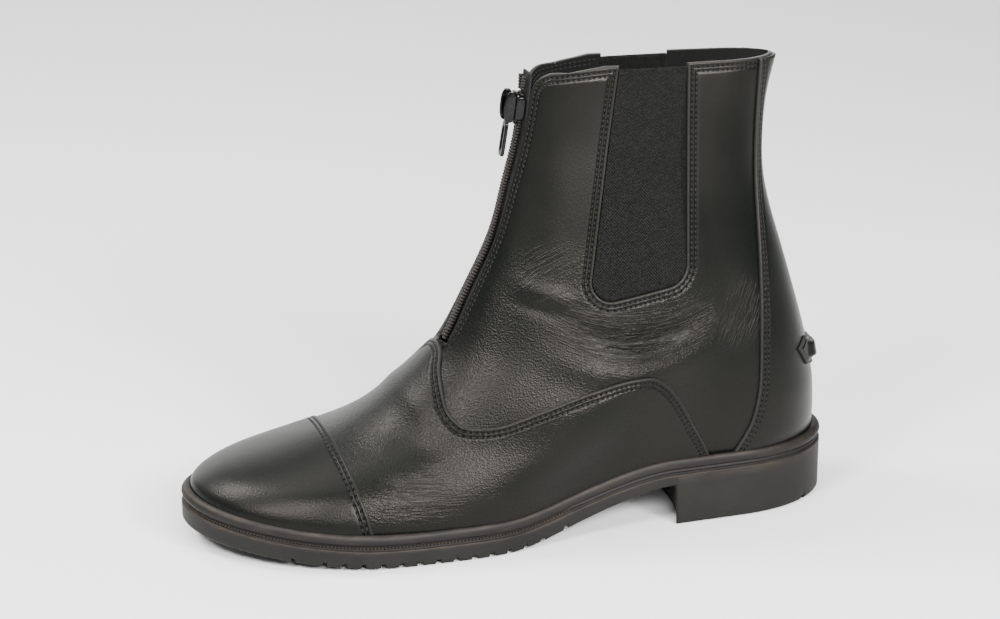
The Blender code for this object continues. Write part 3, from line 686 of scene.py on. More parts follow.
class Seam:
    """Stitches laid along paths on the last, gathered into one mesh."""

    def __init__(self):
        """No stitches yet."""
        self.points = []

    def row(self, path, run, height, pitch=STITCH_PITCH, trim=(1.0, 1.0), radius=STITCH_RADIUS):
        """Capsules midway between the holes, which lie at whole numbers of pitches along the seam."""
        first, final = np.ceil((run[0] + trim[0]) / pitch), np.floor((run[-1] - trim[1]) / pitch)
        at = (np.arange(first, final) + 0.5) * pitch
        point, _, _, normal = skin(points_at(at, run, path))
        ahead = unit(np.gradient(point, axis=0))
        self.add(raised(point, normal, height), ahead, normal, pitch * STITCH_SHARE / 2, radius)

    def both_rows(self, edge, sign, height, run=None, **ways):
        """The rows beside a cut edge, each one in its furrow."""
        run = lengths(edge) if run is None else run
        for row in STITCH_ROWS:
            lift = height + edge_form(np.array(row)) + STITCH_LIFT
            self.row(beside(edge, sign * row), run, lift, **ways)

    def add(self, centre, ahead, normal, half, radius):
        """The capsules themselves: rings along a stitch, whose ends dip into the leather."""
        aside = np.cross(normal, ahead)
        turn = np.linspace(0, 2 * np.pi, STITCH_TURNS, endpoint=False)
        wide = STITCH_WIDE[:, None] * np.cos(turn)
        lift = STITCH_WIDE[:, None] * np.sin(turn) - 0.5 * (STITCH_ALONG ** 2)[:, None]
        spot = centre[:, None, None] + ahead[:, None, None] * (STITCH_ALONG * half)[None, :, None, None]
        spot = spot + aside[:, None, None] * wide[None, :, :, None] * radius
        spot = spot + normal[:, None, None] * lift[None, :, :, None] * radius
        self.points.append(spot.reshape(-1, STITCH_POINTS, 3))

    def mesh(self, name, look, slot):
        """One mesh of all the stitches, each closed by two quads at either end."""
        points = np.concatenate(self.points)
        sides = grid_faces(len(STITCH_ALONG), STITCH_TURNS, close_columns=True)
        start = np.array(((0, 5, 4, 3), (0, 3, 2, 1)))
        end = STITCH_POINTS - STITCH_TURNS + np.array(((0, 1, 2, 3), (0, 3, 4, 5)))
        one = np.concatenate([sides, start, end])[:, ::-1]
        faces = (one[None] + STITCH_POINTS * np.arange(len(points))[:, None, None]).reshape(-1, 4)
        add_mesh(name, points, faces, [look], slot=slot)


def leaned(points, angle):
    """Points turned about the Y axis."""
    x, y, z = points.T
    c, s = np.cos(angle), np.sin(angle)
    return np.stack([x * c + z * s, y, -x * s + z * c], axis=-1)


def superellipse(values, square):
    """Sines or cosines of a rounded square: each raised to two over the squareness, with its sign."""
    return np.sign(values) * np.abs(values) ** (2 / square)


def pillow(size, centre, square, turns, lean=0.0):
    """Rounded block: a ball whose cross sections are superellipses; lean tilts it about Y."""
    u = np.linspace(0, 2 * np.pi, turns[0], endpoint=False)
    v = np.linspace(-np.pi / 2, np.pi / 2, turns[1])[:, None]
    flat = superellipse(np.cos(v), square)
    ball = spread(flat * superellipse(np.cos(u), square), flat * superellipse(np.sin(u), square),
                  superellipse(np.sin(v), square))
    points = ball.reshape(-1, 3) * np.asarray(size) / 2
    return leaned(points, lean) + np.asarray(centre), grid_faces(turns[1], turns[0], close_columns=True)


def gather(blocks):
    """Points and faces of several blocks as one set."""
    starts = np.cumsum([0] + [len(points) for points, _ in blocks[:-1]])
    return (np.concatenate([points for points, _ in blocks]),
            np.concatenate([faces + start for (_, faces), start in zip(blocks, starts)]))


# Finishes

class Wire:
    """A shader socket; arithmetic with it adds Math nodes."""

    def __init__(self, finish, socket):
        """An output socket of a finish's node."""
        self.finish = finish
        self.socket = socket

    def maths(self, operation, *others):
        """One Math node."""
        return self.finish.node("ShaderNodeMath", {"operation": operation}, *others)

    def __add__(self, other):
        return self.maths("ADD", self, other)

    def __sub__(self, other):
        return self.maths("SUBTRACT", self, other)

    def __rsub__(self, other):
        return self.maths("SUBTRACT", other, self)

    def __mul__(self, other):
        return self.maths("MULTIPLY", self, other)

    def __truediv__(self, other):
        return self.maths("DIVIDE", self, other)

    __radd__ = __add__
    __rmul__ = __mul__

    def clamped(self):
        """The value held between 0 and 1."""
        return self.maths("MINIMUM", self.maths("MAXIMUM", self, 0.0), 1.0)

    def absolute(self):
        """The value without its sign."""
        return self.maths("ABSOLUTE", self)

    def sine(self):
        """Sine of the value in radians."""
        return self.maths("SINE", self)

    def cosine(self):
        """Cosine of the value in radians."""
        return self.maths("COSINE", self)


class Finish:
    """One material built from nodes, with the constant sockets set on its shader."""

    def __init__(self, name, **constants):
        """A material whose named sockets hold constants."""
        self.material = bpy.data.materials.new(name)
        self.material.use_nodes = True
        self.tree = self.material.node_tree
        self.shader = self.tree.nodes["Principled BSDF"]
        for socket, value in constants.items():
            self.shader.inputs[socket.replace("_", " ")].default_value = value
        self.place = self.node("ShaderNodeTexCoord", output="Object")

    def node(self, kind, settings=None, *values, output=0, **named):
        """Add a node: its settings first, then the values or links of its sockets."""
        made = self.tree.nodes.new(kind)
        for key, value in (settings or {}).items():
            setattr(made, key, value)
        sockets = list(enumerate(values))
        sockets += [(key.replace("_", " "), value) for key, value in named.items()]
        for key, value in sockets:
            self.put(made.inputs[key], value)
        return Wire(self, made.outputs[output])

    def put(self, socket, value):
        """Link a wire to a socket, or set the socket's own value."""
        if isinstance(value, Wire):
            self.tree.links.new(value.socket, socket)
        else:
            socket.default_value = value

    def feed(self, **sockets):
        """Link or set the shader's sockets."""
        for name, value in sockets.items():
            self.put(self.shader.inputs[name.replace("_", " ")], value)

    def stretched(self, *scale):
        """Object coordinates scaled along the three axes."""
        return self.node("ShaderNodeVectorMath", {"operation": "MULTIPLY"}, self.place, scale)

    def noise(self, scale, detail=2.0, rough=0.5, place=None):
        """Cloudy noise, as many lumps to a metre as the scale says."""
        return self.node("ShaderNodeTexNoise", None, Vector=place or self.place, Scale=scale,
                         Detail=detail, Roughness=rough)

    def cells(self, scale):
        """Distance to the nearest of scattered points: small rounded cells."""
        return self.node("ShaderNodeTexVoronoi", {"feature": "F1"}, Vector=self.place, Scale=scale)

    def waves(self, direction, scale):
        """Even bands in one direction."""
        return self.node("ShaderNodeTexWave", {"bands_direction": direction}, Vector=self.place,
                         Scale=scale)

    def joined(self, x, y, z):
        """A place put together from three values."""
        return self.node("ShaderNodeCombineXYZ", None, x, y, z)

    def mark(self, name):
        """Values that the mesh carries under a name."""
        return self.node("ShaderNodeAttribute", {"attribute_name": name}, output="Fac")

    def ramp(self, value, low, high):
        """0 below low, 1 above high, and a straight line between."""
        return ((value - low) / (high - low)).clamped()

    def mix(self, share, first, second):
        """Colour between two colours."""
        made = self.tree.nodes.new("ShaderNodeMix")
        made.data_type = "RGBA"
        for index, value in ((0, share), (6, first), (7, second)):
            self.put(made.inputs[index], value)
        return Wire(self, made.outputs[2])

    def bump(self, *layers):
        """Stack of Bump nodes, each (height, depth in mm, strength), that feeds Normal."""
        normal = None
        for height, depth, strength in layers:
            made = self.tree.nodes.new("ShaderNodeBump")
            made.inputs["Strength"].default_value = strength
            made.inputs["Distance"].default_value = depth * MM
            self.put(made.inputs["Height"], height)
            if normal:
                self.put(made.inputs["Normal"], normal)
            normal = Wire(self, made.outputs[0])
        self.feed(Normal=normal)


def colour(red, green, blue):
    """Opaque colour of three linear parts."""
    return (red, green, blue, 1.0)


def black_leather(name, grain, shine, rows=STITCH_ROWS, pitch=STITCH_PITCH):
    """Smooth black leather: fine pebble grain, brown bloom where it is rubbed, and paler cut edges that are
    partly wear and partly painted highlight.

    Pebble and streaks are strongest over the foot and fade up the shaft and towards the back.
    Beside a seam each row of stitches is a furrow with a hole at every pitch, and the colour is darkened in
    both as painted shade. Fine wrinkles are thin valleys where a stretched noise passes its middle value.
    """
    made = Finish(name, IOR=1.5, Specular_IOR_Level=0.12, Coat_Roughness=0.35,
                  Specular_Tint=colour(1.0, 0.90, 0.81))
    cloud = made.noise(38.0, 3.0)
    bloom = made.ramp(made.noise(14.0), 0.42, 0.72)
    along = made.node("ShaderNodeSeparateXYZ", None, made.place, output="X")
    up = made.node("ShaderNodeSeparateXYZ", None, made.place, output="Z")
    worked = 0.25 + 0.75 * made.ramp(up, 0.125, 0.095) * made.ramp(along, 0.095, 0.065)
    pebble = made.cells(1350.0) * worked
    fine = made.noise(3000.0)
    streak = made.noise(650.0, 3.0, 0.6, made.stretched(1.0, 1.0, 2.0)) * worked
    rim, away, run = made.mark("rim"), made.mark("away"), made.mark("run")
    hole = made.ramp((run * (2 * np.pi / pitch)).cosine(), 0.40, 0.85)
    stitch_furrows = sum(made.ramp((away - row).absolute(), 0.55, 0.12) for row in rows)
    pits = stitch_furrows * hole
    stretch = made.joined(made.mark("fold") * 0.62, made.mark("along") * 0.05, 0.0)
    wrinkle = made.noise(1.0, 3.0, 0.5, stretch)
    valley = (1.0 - made.ramp((wrinkle - 0.5).absolute(), 0.0, 0.12)) * made.mark("folded")
    tone = made.mix(bloom * 0.6, colour(0.0013, 0.0020, 0.0016), colour(0.0034, 0.0032, 0.0027))
    tone = made.mix(made.ramp(cloud, 0.5, 0.75) * 0.35, tone, colour(0.0024, 0.0025, 0.0021))
    # painted shade: the colour is darkened along the stitch furrows and in the stitch holes, where shade
    # falls
    tone = made.mix((stitch_furrows * 0.35 + pits * 0.55).clamped(), tone, colour(0.0004, 0.0004, 0.0004))
    # paler tone at cut edges: partly wear of the edge, partly painted highlight
    tone = made.mix(rim * 0.75, tone, colour(0.019, 0.0185, 0.0175))
    rough = shine + (cloud - 0.5) * 0.16 + (fine - 0.5) * 0.10
    rough = rough + rim * 0.10 + pits * 0.4 + valley * 0.08
    made.feed(Base_Color=tone, Roughness=rough.clamped(), Coat_Weight=0.02 + bloom * 0.06)
    made.bump((valley * -1.0, 0.55, 0.9), (streak, 0.14 * grain, 0.7), (pebble, 0.15 * grain, 0.8),
              (fine, 0.03, 0.4), (pits * -1.0, 0.4, 0.9))
    return made.material


def sole_rubber(name, tone_low, tone_high):
    """Matt moulded rubber with a warm cast, faint scuffs and a fine moulded grain. Marked edges get
    browner, paler patches, partly wear and partly painted highlight.
    """
    made = Finish(name, IOR=1.5, Specular_IOR_Level=0.16)
    cloud = made.noise(30.0, 4.0, 0.6)
    scuff = made.noise(160.0, 3.0, 0.65, made.stretched(0.5, 0.5, 2.0))
    grain = made.noise(1500.0, 2.0)
    wear_and_highlight = made.mark("wear_and_highlight")
    tone = made.mix(made.ramp(cloud, 0.38, 0.68), tone_low, tone_high)
    tone = made.mix(made.ramp(scuff, 0.6, 0.8) * 0.35, tone, colour(0.021, 0.019, 0.0165))
    # browner, paler patches on the marked edges: partly wear, partly painted highlight
    tone = made.mix((wear_and_highlight * made.ramp(scuff, 0.35, 0.62)).clamped(), tone, colour(0.026, 0.0185, 0.0130))
    made.feed(Base_Color=tone, Roughness=(0.60 + (cloud - 0.5) * 0.2 - wear_and_highlight * 0.08).clamped())
    made.bump((scuff, 0.08, 0.4), (grain, 0.06, 0.5))
    return made.material


def dark_lining(name):
    """Dark woven lining: two crossed sets of threads."""
    made = Finish(name, Specular_IOR_Level=0.1)
    weave = made.waves("X", 420.0) * made.waves("Z", 420.0)
    cloud = made.noise(60.0, 3.0)
    tone = made.mix(cloud, colour(0.0020, 0.0020, 0.0020), colour(0.0048, 0.0047, 0.0045))
    made.feed(Base_Color=made.mix(weave * 0.4, tone, colour(0.0080, 0.0078, 0.0075)),
              Roughness=0.75 + cloud * 0.2)
    made.bump((weave, 0.12, 0.5))
    return made.material


def elastic_web(name):
    """Woven elastic: a noise stretched down the panel and one across it, over a grid of threads.

    The grid is the product of two sines, one to a thread across and one to a thread down.
    """
    made = Finish(name, Specular_IOR_Level=0.08)
    across, down = made.mark("across") / THREAD_WIDE, made.mark("down") / THREAD_TALL
    warp = made.noise(1.6, 0.0, 0.5, made.joined(across, down * 0.6, 0.0))
    weft = made.noise(1.6, 0.0, 0.5, made.joined(across * 0.6, down, 9.0))
    grid = (across * np.pi).sine() * (down * np.pi).sine()
    knot = (made.ramp(warp + weft, 0.80, 1.20) * 0.65 + grid * 0.45).clamped()
    cloud = made.noise(45.0, 3.0)
    tone = made.mix(knot, colour(0.0001, 0.0001, 0.0001), colour(0.0108, 0.0106, 0.0100))
    made.feed(Base_Color=tone, Roughness=(0.72 + cloud * 0.2).clamped())
    made.bump((knot, 0.20, 0.8))
    return made.material


def waxed_thread(name):
    """Black sewing thread with a twist."""
    made = Finish(name, Specular_IOR_Level=0.18)
    twist = made.noise(2600.0, 2.0, 0.5, made.stretched(1.0, 1.0, 0.5))
    tone = made.mix(made.ramp(twist, 0.4, 0.62), colour(0.0012, 0.0012, 0.0012),
                    colour(0.0062, 0.0060, 0.0057))
    made.feed(Base_Color=tone, Roughness=0.42 + twist * 0.2)
    made.bump((twist, 0.06, 0.6))
    return made.material


def woven_tape(name):
    """Black zip tape: slanted fine threads."""
    made = Finish(name, Specular_IOR_Level=0.2)
    slant = made.waves("DIAGONAL", 520.0)
    cloud = made.noise(80.0, 3.0)
    tone = made.mix(slant * 0.7, colour(0.002, 0.002, 0.002), colour(0.008, 0.008, 0.008))
    made.feed(Base_Color=tone, Roughness=0.70 + cloud * 0.2)
    made.bump((slant, 0.1, 0.6))
    return made.material


def black_metal(name, tone, shine):
    """Black enamelled metal, rubbed brighter in small specks."""
    made = Finish(name, IOR=1.5, Specular_IOR_Level=0.16)
    cloud = made.noise(260.0, 3.0)
    rub = made.ramp(made.noise(900.0, 3.0), 0.58, 0.72)
    made.feed(Base_Color=made.mix(rub * 0.3, tone, colour(0.03, 0.029, 0.028)),
              Roughness=(shine + (cloud - 0.5) * 0.2 + rub * 0.1).clamped(), Metallic=rub * 0.1)
    made.bump((cloud, 0.05, 0.3))
    return made.material


def pale_paper(name):
    """Plain pale floor with hardly any mottle."""
    made = Finish(name, Specular_IOR_Level=0.1)
    mottle = made.noise(3.0, 2.0)
    made.feed(Base_Color=made.mix(mottle, colour(0.64, 0.64, 0.64), colour(0.68, 0.68, 0.675)),
              Roughness=0.9 + mottle * 0.05)
    return made.material


UPPER_LEATHER = black_leather("black leather", 1.0, 0.34)
CAP_LEATHER = black_leather("toe cap leather", 0.5, 0.39, pitch=CAP_PITCH)
SPUR_RUBBER = black_leather("spur rest rubber", 0.5, 0.45, rows=())
LINING = dark_lining("dark lining")
ELASTIC = elastic_web("black elastic")
THREAD = waxed_thread("black thread")
TAPE = woven_tape("black tape")
TEETH = black_metal("black zip teeth", colour(0.0062, 0.0048, 0.0040), 0.50)
METAL = black_metal("black slider metal", colour(0.0012, 0.0012, 0.0013), 0.20)
SOLE = sole_rubber("sole rubber", colour(0.0047, 0.0045, 0.0038), colour(0.0078, 0.0074, 0.0064))
BEAD = sole_rubber("welt rubber", colour(0.0040, 0.0037, 0.0032), colour(0.0066, 0.0060, 0.0052))
MOCK_THREAD = sole_rubber("moulded stitch rubber", colour(0.0100, 0.0074, 0.0050),
                          colour(0.021, 0.0150, 0.0100))
FOOTBED = dark_lining("footbed fabric")


# Leather

def gore_line(side, side_count=200, arc_count=60, bottom_count=80):
    """Edge of the elastic's cut-out from the collar in front round to the collar behind, in five parts.

    Straight sides and a straight bottom join two arcs.
    """
    corners = []
    for (x, z, radius), first, end in ((GORE_FRONT_CORNER, 180, GORE_BOTTOM_DEG),
                                       (GORE_BACK_CORNER, GORE_BOTTOM_DEG, 360)):
        turn = np.radians(np.linspace(first, end, arc_count))
        corners.append(np.stack([x + radius * np.cos(turn), z + radius * np.sin(turn)], axis=-1))
    front, back = corners
    down = np.linspace((GORE_TOP_FRONT_X, COLLAR_Z), front[0], side_count)
    low = np.linspace(front[-1], back[0], bottom_count)
    up = np.linspace(back[-1], (GORE_TOP_BACK_X, COLLAR_Z), side_count)
    return [on_last(part) * (side, 1) for part in (down, front, low, back, up)]


def gore_loop(parts):
    """The five parts of a cut-out's edge as one evenly spaced path."""
    return spaced(np.concatenate(parts[:1] + [part[1:] for part in parts[1:]]), LOOP_POINTS)


def zip_edge(side, count=240, corner_count=60):
    """Edge of the front panel beside the zip, from its rounded upper corner down to the slit's end.

    At each level the angle is searched where the last is half a slit from the middle.
    """
    low_x = np.interp(ZIP_LOW_Z, RINGS[:, 1], RINGS[:, 0])
    low_level = on_last(((low_x, ZIP_LOW_Z),))[0, 1]
    level = np.linspace(1, low_level, count)
    near, far = np.zeros(count), np.full(count, WIDEST_SLIT_ANGLE)
    for _ in range(HALVINGS):
        angle = (near + far) / 2
        y = last(np.stack([side * angle, level], axis=-1))[:, 1]
        inside = (np.abs(y) < ZIP_HALF_SLIT) | (y * side > 0)
        near, far = np.where(inside, angle, near), np.where(inside, far, angle)
    path = np.stack([side * angle, level], axis=-1)
    turn = np.linspace(0, np.pi / 2, corner_count)
    corner_end = COLLAR_DIP + COLLAR_CORNER
    straight = np.linspace(corner_end, lengths(path)[-1], count)[1:]
    wanted = np.concatenate([corner_end - COLLAR_CORNER * np.cos(turn), straight])
    inset = np.concatenate([COLLAR_CORNER * (1 - np.sin(turn)), np.zeros(count - 1)])
    return slide(at_lengths(path, wanted), side * inset)


def falling(path, count):
    """Points of a path that falls from the collar: at a rim's levels at first, and then even."""
    levels = path[0, 1] - RIM_STEPS / COLLAR_STEP
    start = np.stack([np.interp(-levels, -path[:, 1], path[:, 0]), levels], axis=-1)
    rest = np.concatenate([start[-1:], path[path[:, 1] < levels[-1]]])
    return np.concatenate([start, spaced(rest, count + 1)[1:]])


def in_columns(parts):
    """Points of five joined paths, as many on each as the upper has columns there."""
    first = falling(parts[0], UPPER_COLUMNS[0])
    final = falling(parts[4][::-1], UPPER_COLUMNS[4])[::-1]
    between = [spaced(part, count + 1)[1:] for part, count in zip(parts[1:4], UPPER_COLUMNS[1:4])]
    return np.concatenate([first] + between + [final[1:]])


def half_upper(name, side):
    """One side of the upper, from the sole to the collar.

    Its rows run round the elastic's cut-out, and its columns go straight from there to the zip,
    the vamp's middle line, the sole and the back seam.
    """
    gore_parts = gore_line(side)
    edge = zip_edge(side)
    slit_angle, slit_level = edge[-1]
    middle = np.linspace((slit_angle, slit_level), (0, slit_level), 60)
    front = np.linspace((0, slit_level), (0, 0), 120)
    sole = np.linspace((0, 0), (side * np.pi, 0), 300)
    back = np.linspace((side * np.pi, 0), (side * np.pi, 1), 200)
    sole_run = lengths(sole)
    first, second = np.searchsorted(sole_run, np.array(UPPER_SOLE_CUTS) * sole_run[-1])
    gore = in_columns(gore_parts)
    border = in_columns((edge, np.concatenate([middle, front[1:], sole[1:first + 1]]),
                         sole[first:second + 1], sole[second:], back))
    gore_run, border_run = lengths(gore), lengths(border)
    from_collar = np.minimum(gore_run, gore_run[-1] - gore_run)
    away_from_gore = np.where(gore_run < gore_run[-1] / 2, -side, side)
    level_rows = np.clip(LEVEL_ROWS_START - from_collar / LEVEL_ROWS_REACH, 0, 1)
    near = edge_rows(gore, -side, 1.0, level_rows, away_from_gore)
    zip_columns = len(RIM_STEPS) + UPPER_COLUMNS[0]
    hidden = np.clip((np.arange(len(border)) - zip_columns) / HIDDEN_COLUMNS + 1, 0, 1)
    at_corner = np.clip(CORNER_REACH - border_run / COLLAR_CORNER, 0, 1)
    far = edge_rows(border, side, 1 - HIDDEN_SHARE * hidden, at_corner, side)[::-1]
    between = ruled(near[-1], far[0], np.linspace(0, 1, UPPER_ROWS)[1:-1], UPPER_CALM)
    point, _, _, normal = skin(np.concatenate([near, between, far]))
    collar_front = np.linspace(gore_parts[0][0], edge[0], COLLAR_POINTS)
    collar_back = np.linspace((gore_parts[4][-1, 0], 1), (side * np.pi, 1), COLLAR_POINTS)
    front_edge = spaced(np.concatenate([collar_front, edge[1:]]), EDGE_POINTS)
    back_edge = spaced(collar_back, EDGE_POINTS)
    away, run = np.full(point.shape[:2], np.inf), np.zeros(point.shape[:2])
    for line in (front_edge, back_edge):
        gap, number = nearest(point, last(line))
        run = np.where(gap < away, number * lengths(line)[-1] / (EDGE_POINTS - 1), run)
        away = np.minimum(away, gap)
    count = len(RIM_STEPS)
    run[:count] = np.where(away[:count] > RIM_STEPS[:, None], gore_run[None], run[:count])
    away[:count] = np.minimum(away[:count], RIM_STEPS[:, None])
    height = edge_form(away) + crease_height(point)
    slab(name, raised(point, normal, height), raised(point, normal, -LEATHER), [UPPER_LEATHER, LINING],
         marks=seam_marks(away, run, point), slot="leather", replaces=("upper",))
    loop = gore_loop(gore_parts)
    for row in STITCH_ROWS:
        lift = edge_form(np.array(row)) + STITCH_LIFT
        SEAMS.row(beside(loop, -side * row), lengths(loop), lift, trim=(row, row))
        for height in (lift, -LEATHER - LINING_STITCH_LIFT):
            SEAMS.row(beside(front_edge, side * row), lengths(front_edge), height, trim=(row, SLIT_TRIM))
        SEAMS.row(beside(back_edge, -side * row), lengths(back_edge), lift, trim=(row, STRIP_TRIM))


def seam_path(table):
    """A seam on the outer side from the middle or the collar down to behind the welt."""
    path = on_last(side_curve(table))
    path = path[(path[:, 0] > 1e-3) & (path[:, 1] < 0.9995)]
    return path[path[:, 1] > TUCK_LEVEL]


def across_front(path, count):
    """A seam that goes over the middle, evenly spaced: inner side, middle and outer side.

    The level at the middle continues the parabola through the first two points.
    """
    (angle, level), (next_angle, next_level) = path[0], path[1]
    rise = (level - next_level) * angle ** 2 / (next_angle ** 2 - angle ** 2)
    whole = np.concatenate([(path * (-1, 1))[::-1], [(0.0, level + rise)], path])
    return soften(spaced(whole, count), 2.0)


def overlay(node, places, away, run, thick, look, from_collar=None):
    """A piece sewn onto the upper: a thickness above the last, with its rim, furrows and creases."""
    point, _, _, normal = skin(places)
    crease = crease_height(point)
    height = thick + edge_form(away)
    from_rim = away
    if from_collar is not None:
        height = height + edge_form(from_collar, ())
        from_rim = np.minimum(away, from_collar)
    slab(node + "_leather", raised(point, normal, height + crease), raised(point, normal, SUNK + crease),
         [look], marks=seam_marks(away, run[None], point, from_rim), slot="leather", replaces=(node,))


def add_vamp():
    """Vamp with its wings: lines run from the wing's edge forward to under the toe cap."""
    edge = across_front(seam_path(WING_EDGE), VAMP_COLUMNS)
    front = beside(across_front(seam_path(CAP_SEAM), VAMP_COLUMNS), -CAP_OVERLAP)
    near = edge_rows(edge, -1)
    places = np.concatenate([near, ruled(near[-1], front, np.linspace(0, 1, VAMP_ROWS)[1:])])
    overlay("vamp", places, rows_away(places), lengths(edge), OVERLAY, UPPER_LEATHER)
    SEAMS.both_rows(edge, -1, OVERLAY)


def add_toe_cap():
    """Toe cap: lines run from its seam down to the welt."""
    edge = across_front(seam_path(CAP_SEAM), CAP_COLUMNS)
    near = edge_rows(edge, -1)
    reach = near[-1][-1, 0] * CAP_REACH
    welt = np.linspace((-reach, TUCK_LEVEL), (reach, TUCK_LEVEL), CAP_COLUMNS)
    places = np.concatenate([near, ruled(near[-1], welt, np.linspace(0, 1, CAP_ROWS)[1:])])
    overlay("toe_cap", places, rows_away(places), lengths(edge), CAP_THICK, CAP_LEATHER)
    SEAMS.both_rows(edge, -1, CAP_THICK, pitch=CAP_PITCH, radius=CAP_STITCH_RADIUS)


def add_back_strip():
    """Strip over the back seam: lines run from its outer edge round to its inner edge."""
    outer = spaced(seam_path(BACK_EDGE), STRIP_COLUMNS)
    inner = outer * (-1, 1) + (2 * np.pi, 0)
    near, far = edge_rows(outer, 1), edge_rows(inner, -1)[::-1]
    between = ruled(near[-1], far[0], np.linspace(0, 1, STRIP_ROWS)[1:-1])
    places = np.concatenate([near, between, far])
    away = np.minimum(rows_away(places), rows_away(places[::-1])[::-1])
    collar = (1 - places[..., 1]) * (RINGS[-1][1] - RINGS[-2][1]) * (len(RINGS) - 1)
    overlay("back_strip", places, away, lengths(outer), OVERLAY, UPPER_LEATHER, collar)
    for path, sign in ((outer, 1), (inner, -1)):
        SEAMS.both_rows(path, sign, OVERLAY, lengths(outer))


def add_spur_rest():
    """Pointed strip across the back, falling to the middle, with a raised ridge along it."""
    tip_x, tip_z = SPUR_TIP
    wide_x = tip_x + SPUR_POINT
    x = np.concatenate([np.linspace(tip_x, wide_x, 14), np.linspace(wide_x, SPUR_LAST_X, 30)[1:]])
    middle = tip_z - SPUR_SLANT * (x - tip_x)
    half = SPUR_HALF_HEIGHT * np.clip((x - tip_x) / SPUR_POINT, 0.02, 1)
    shares = np.linspace(-1, 1, SPUR_ROWS)
    rows = []
    for share in shares:
        path = on_last(np.stack([x, middle + share * half], axis=-1))
        other = path[::-1] * (-1, 1) + (2 * np.pi, 0)
        rows.append(np.concatenate([path, np.linspace(path[-1], other[0], 60)[1:-1], other]))
    point, _, _, normal = skin(np.stack(rows))
    away, _ = nearest(point, np.concatenate([point[0], point[-1]]))
    across = shares[:, None] * SPUR_HALF_HEIGHT / SPUR_RIDGE_HALF
    rise = np.clip((point[..., 0] - wide_x) / SPUR_RIDGE_FADE, 0, 1)
    flank = np.clip(SPUR_FLANK * (1 - np.abs(across)), 0, 1)
    ridge = SPUR_RIDGE * ease(flank) * ease(rise)
    height = OVERLAY + SPUR_BASE + edge_form(away, (SPUR_FURROW,)) + ridge
    slab("spur_rest_leather", raised(point, normal, height), raised(point, normal, OVERLAY + SUNK),
         [SPUR_RUBBER], marks=seam_marks(away, 0.0, point), slot="leather", replaces=("spur_rest",))


def add_gore(name, side):
    """Elastic panel: ruled from its top edge to the rounded lower edge, with ribs running down."""
    parts = gore_line(side)
    loop = beside(gore_loop(parts), side * CLEAR)
    part_ends = np.cumsum([lengths(part)[-1] for part in parts])
    first, second = part_ends[0], part_ends[3]
    across = np.linspace(0, 1, RIB_COUNT * RIB_COLUMNS + 1)
    down = np.linspace(0, 1, GORE_ROWS)
    end = lengths(loop)[-1] - GORE_TOP_DROP
    top = np.linspace(*at_lengths(loop, np.array((GORE_TOP_DROP, end))), len(across))
    bottom = at_lengths(loop, first + (second - first) * across)
    places = ruled(top, bottom, down)
    places[:, 0] = at_lengths(loop, GORE_TOP_DROP + (first - GORE_TOP_DROP) * down)
    places[:, -1] = at_lengths(loop, end - (end - second) * down)
    point, _, _, normal = skin(places)
    rib = RIB_HEIGHT * np.sin(2 * np.pi * RIB_COUNT * across)[None]
    hem = GORE_HEM * np.exp(-(down[:, None] * GORE_HEIGHT - GORE_HEM_AT) ** 2)
    slanted = point[..., 0] + (COLLAR_Z - point[..., 2]) * GORE_SLANT
    slab(name, raised(point, normal, GORE_OUTER_OFFSET - RIB_HEIGHT + rib + hem),
         raised(point, normal, GORE_OUTER_OFFSET - GORE_THICK), [ELASTIC], slot="elastic",
         replaces=(name.replace("elastic", "gore"),), marks={"across": slanted, "down": point[..., 2]})


# Zip

def front_line(z):
    """Front edge of the shaft in side view, and its slope by central difference."""
    below, x, above = (smooth(RINGS[:, 1], RINGS[:, 0], z + step) for step in (-0.5, 0.0, 0.5))
    return x, above - below


def add_zip_tape():
    """Woven tape behind the teeth: a thin band with a rounded cord along each edge."""
    z = np.linspace(ZIP_LOW_Z, TAPE_TOP_Z, 150)[:, None]
    y = np.linspace(-TAPE_HALF, TAPE_HALF, 25)
    x, _ = front_line(z)
    cord = TAPE_CORD * np.exp(-((np.abs(y) - TAPE_CORD_Y) / TAPE_CORD_HALF) ** 2)
    slab("zip_tape_woven", spread(x + TAPE_FRONT - cord, y, z), spread(x + TAPE_BACK, y, z), [TAPE],
         slot="zip_tape", replaces=("zip_tape",))


def teeth(z, side, centre_y, reach):
    """Row of moulded teeth: rounded blocks, each a superellipse in section, set square to the front."""
    block, faces = pillow((TOOTH_DEPTH, reach, TOOTH_PITCH * 0.98), (0, 0, 0), 3.6, (12, 7))
    x, slope = front_line(z)
    lean = np.arctan(slope)
    along = np.stack([np.sin(lean), np.zeros_like(lean), np.cos(lean)], axis=-1)
    ahead = np.stack([np.cos(lean), np.zeros_like(lean), -np.sin(lean)], axis=-1)
    base = np.stack([x + (CHAIN_FRONT + CHAIN_BACK) / 2 - 0.1, side * centre_y, z], axis=-1)
    points = base[:, None] + block[None, :, 0:1] * ahead[:, None] + block[None, :, 2:3] * along[:, None]
    points = points + block[None, :, 1:2] * np.array((0.0, 1.0, 0.0))
    index = np.arange(len(z))[:, None, None] * len(block)
    return points.reshape(-1, 3), (faces[None] + index).reshape(-1, 4)


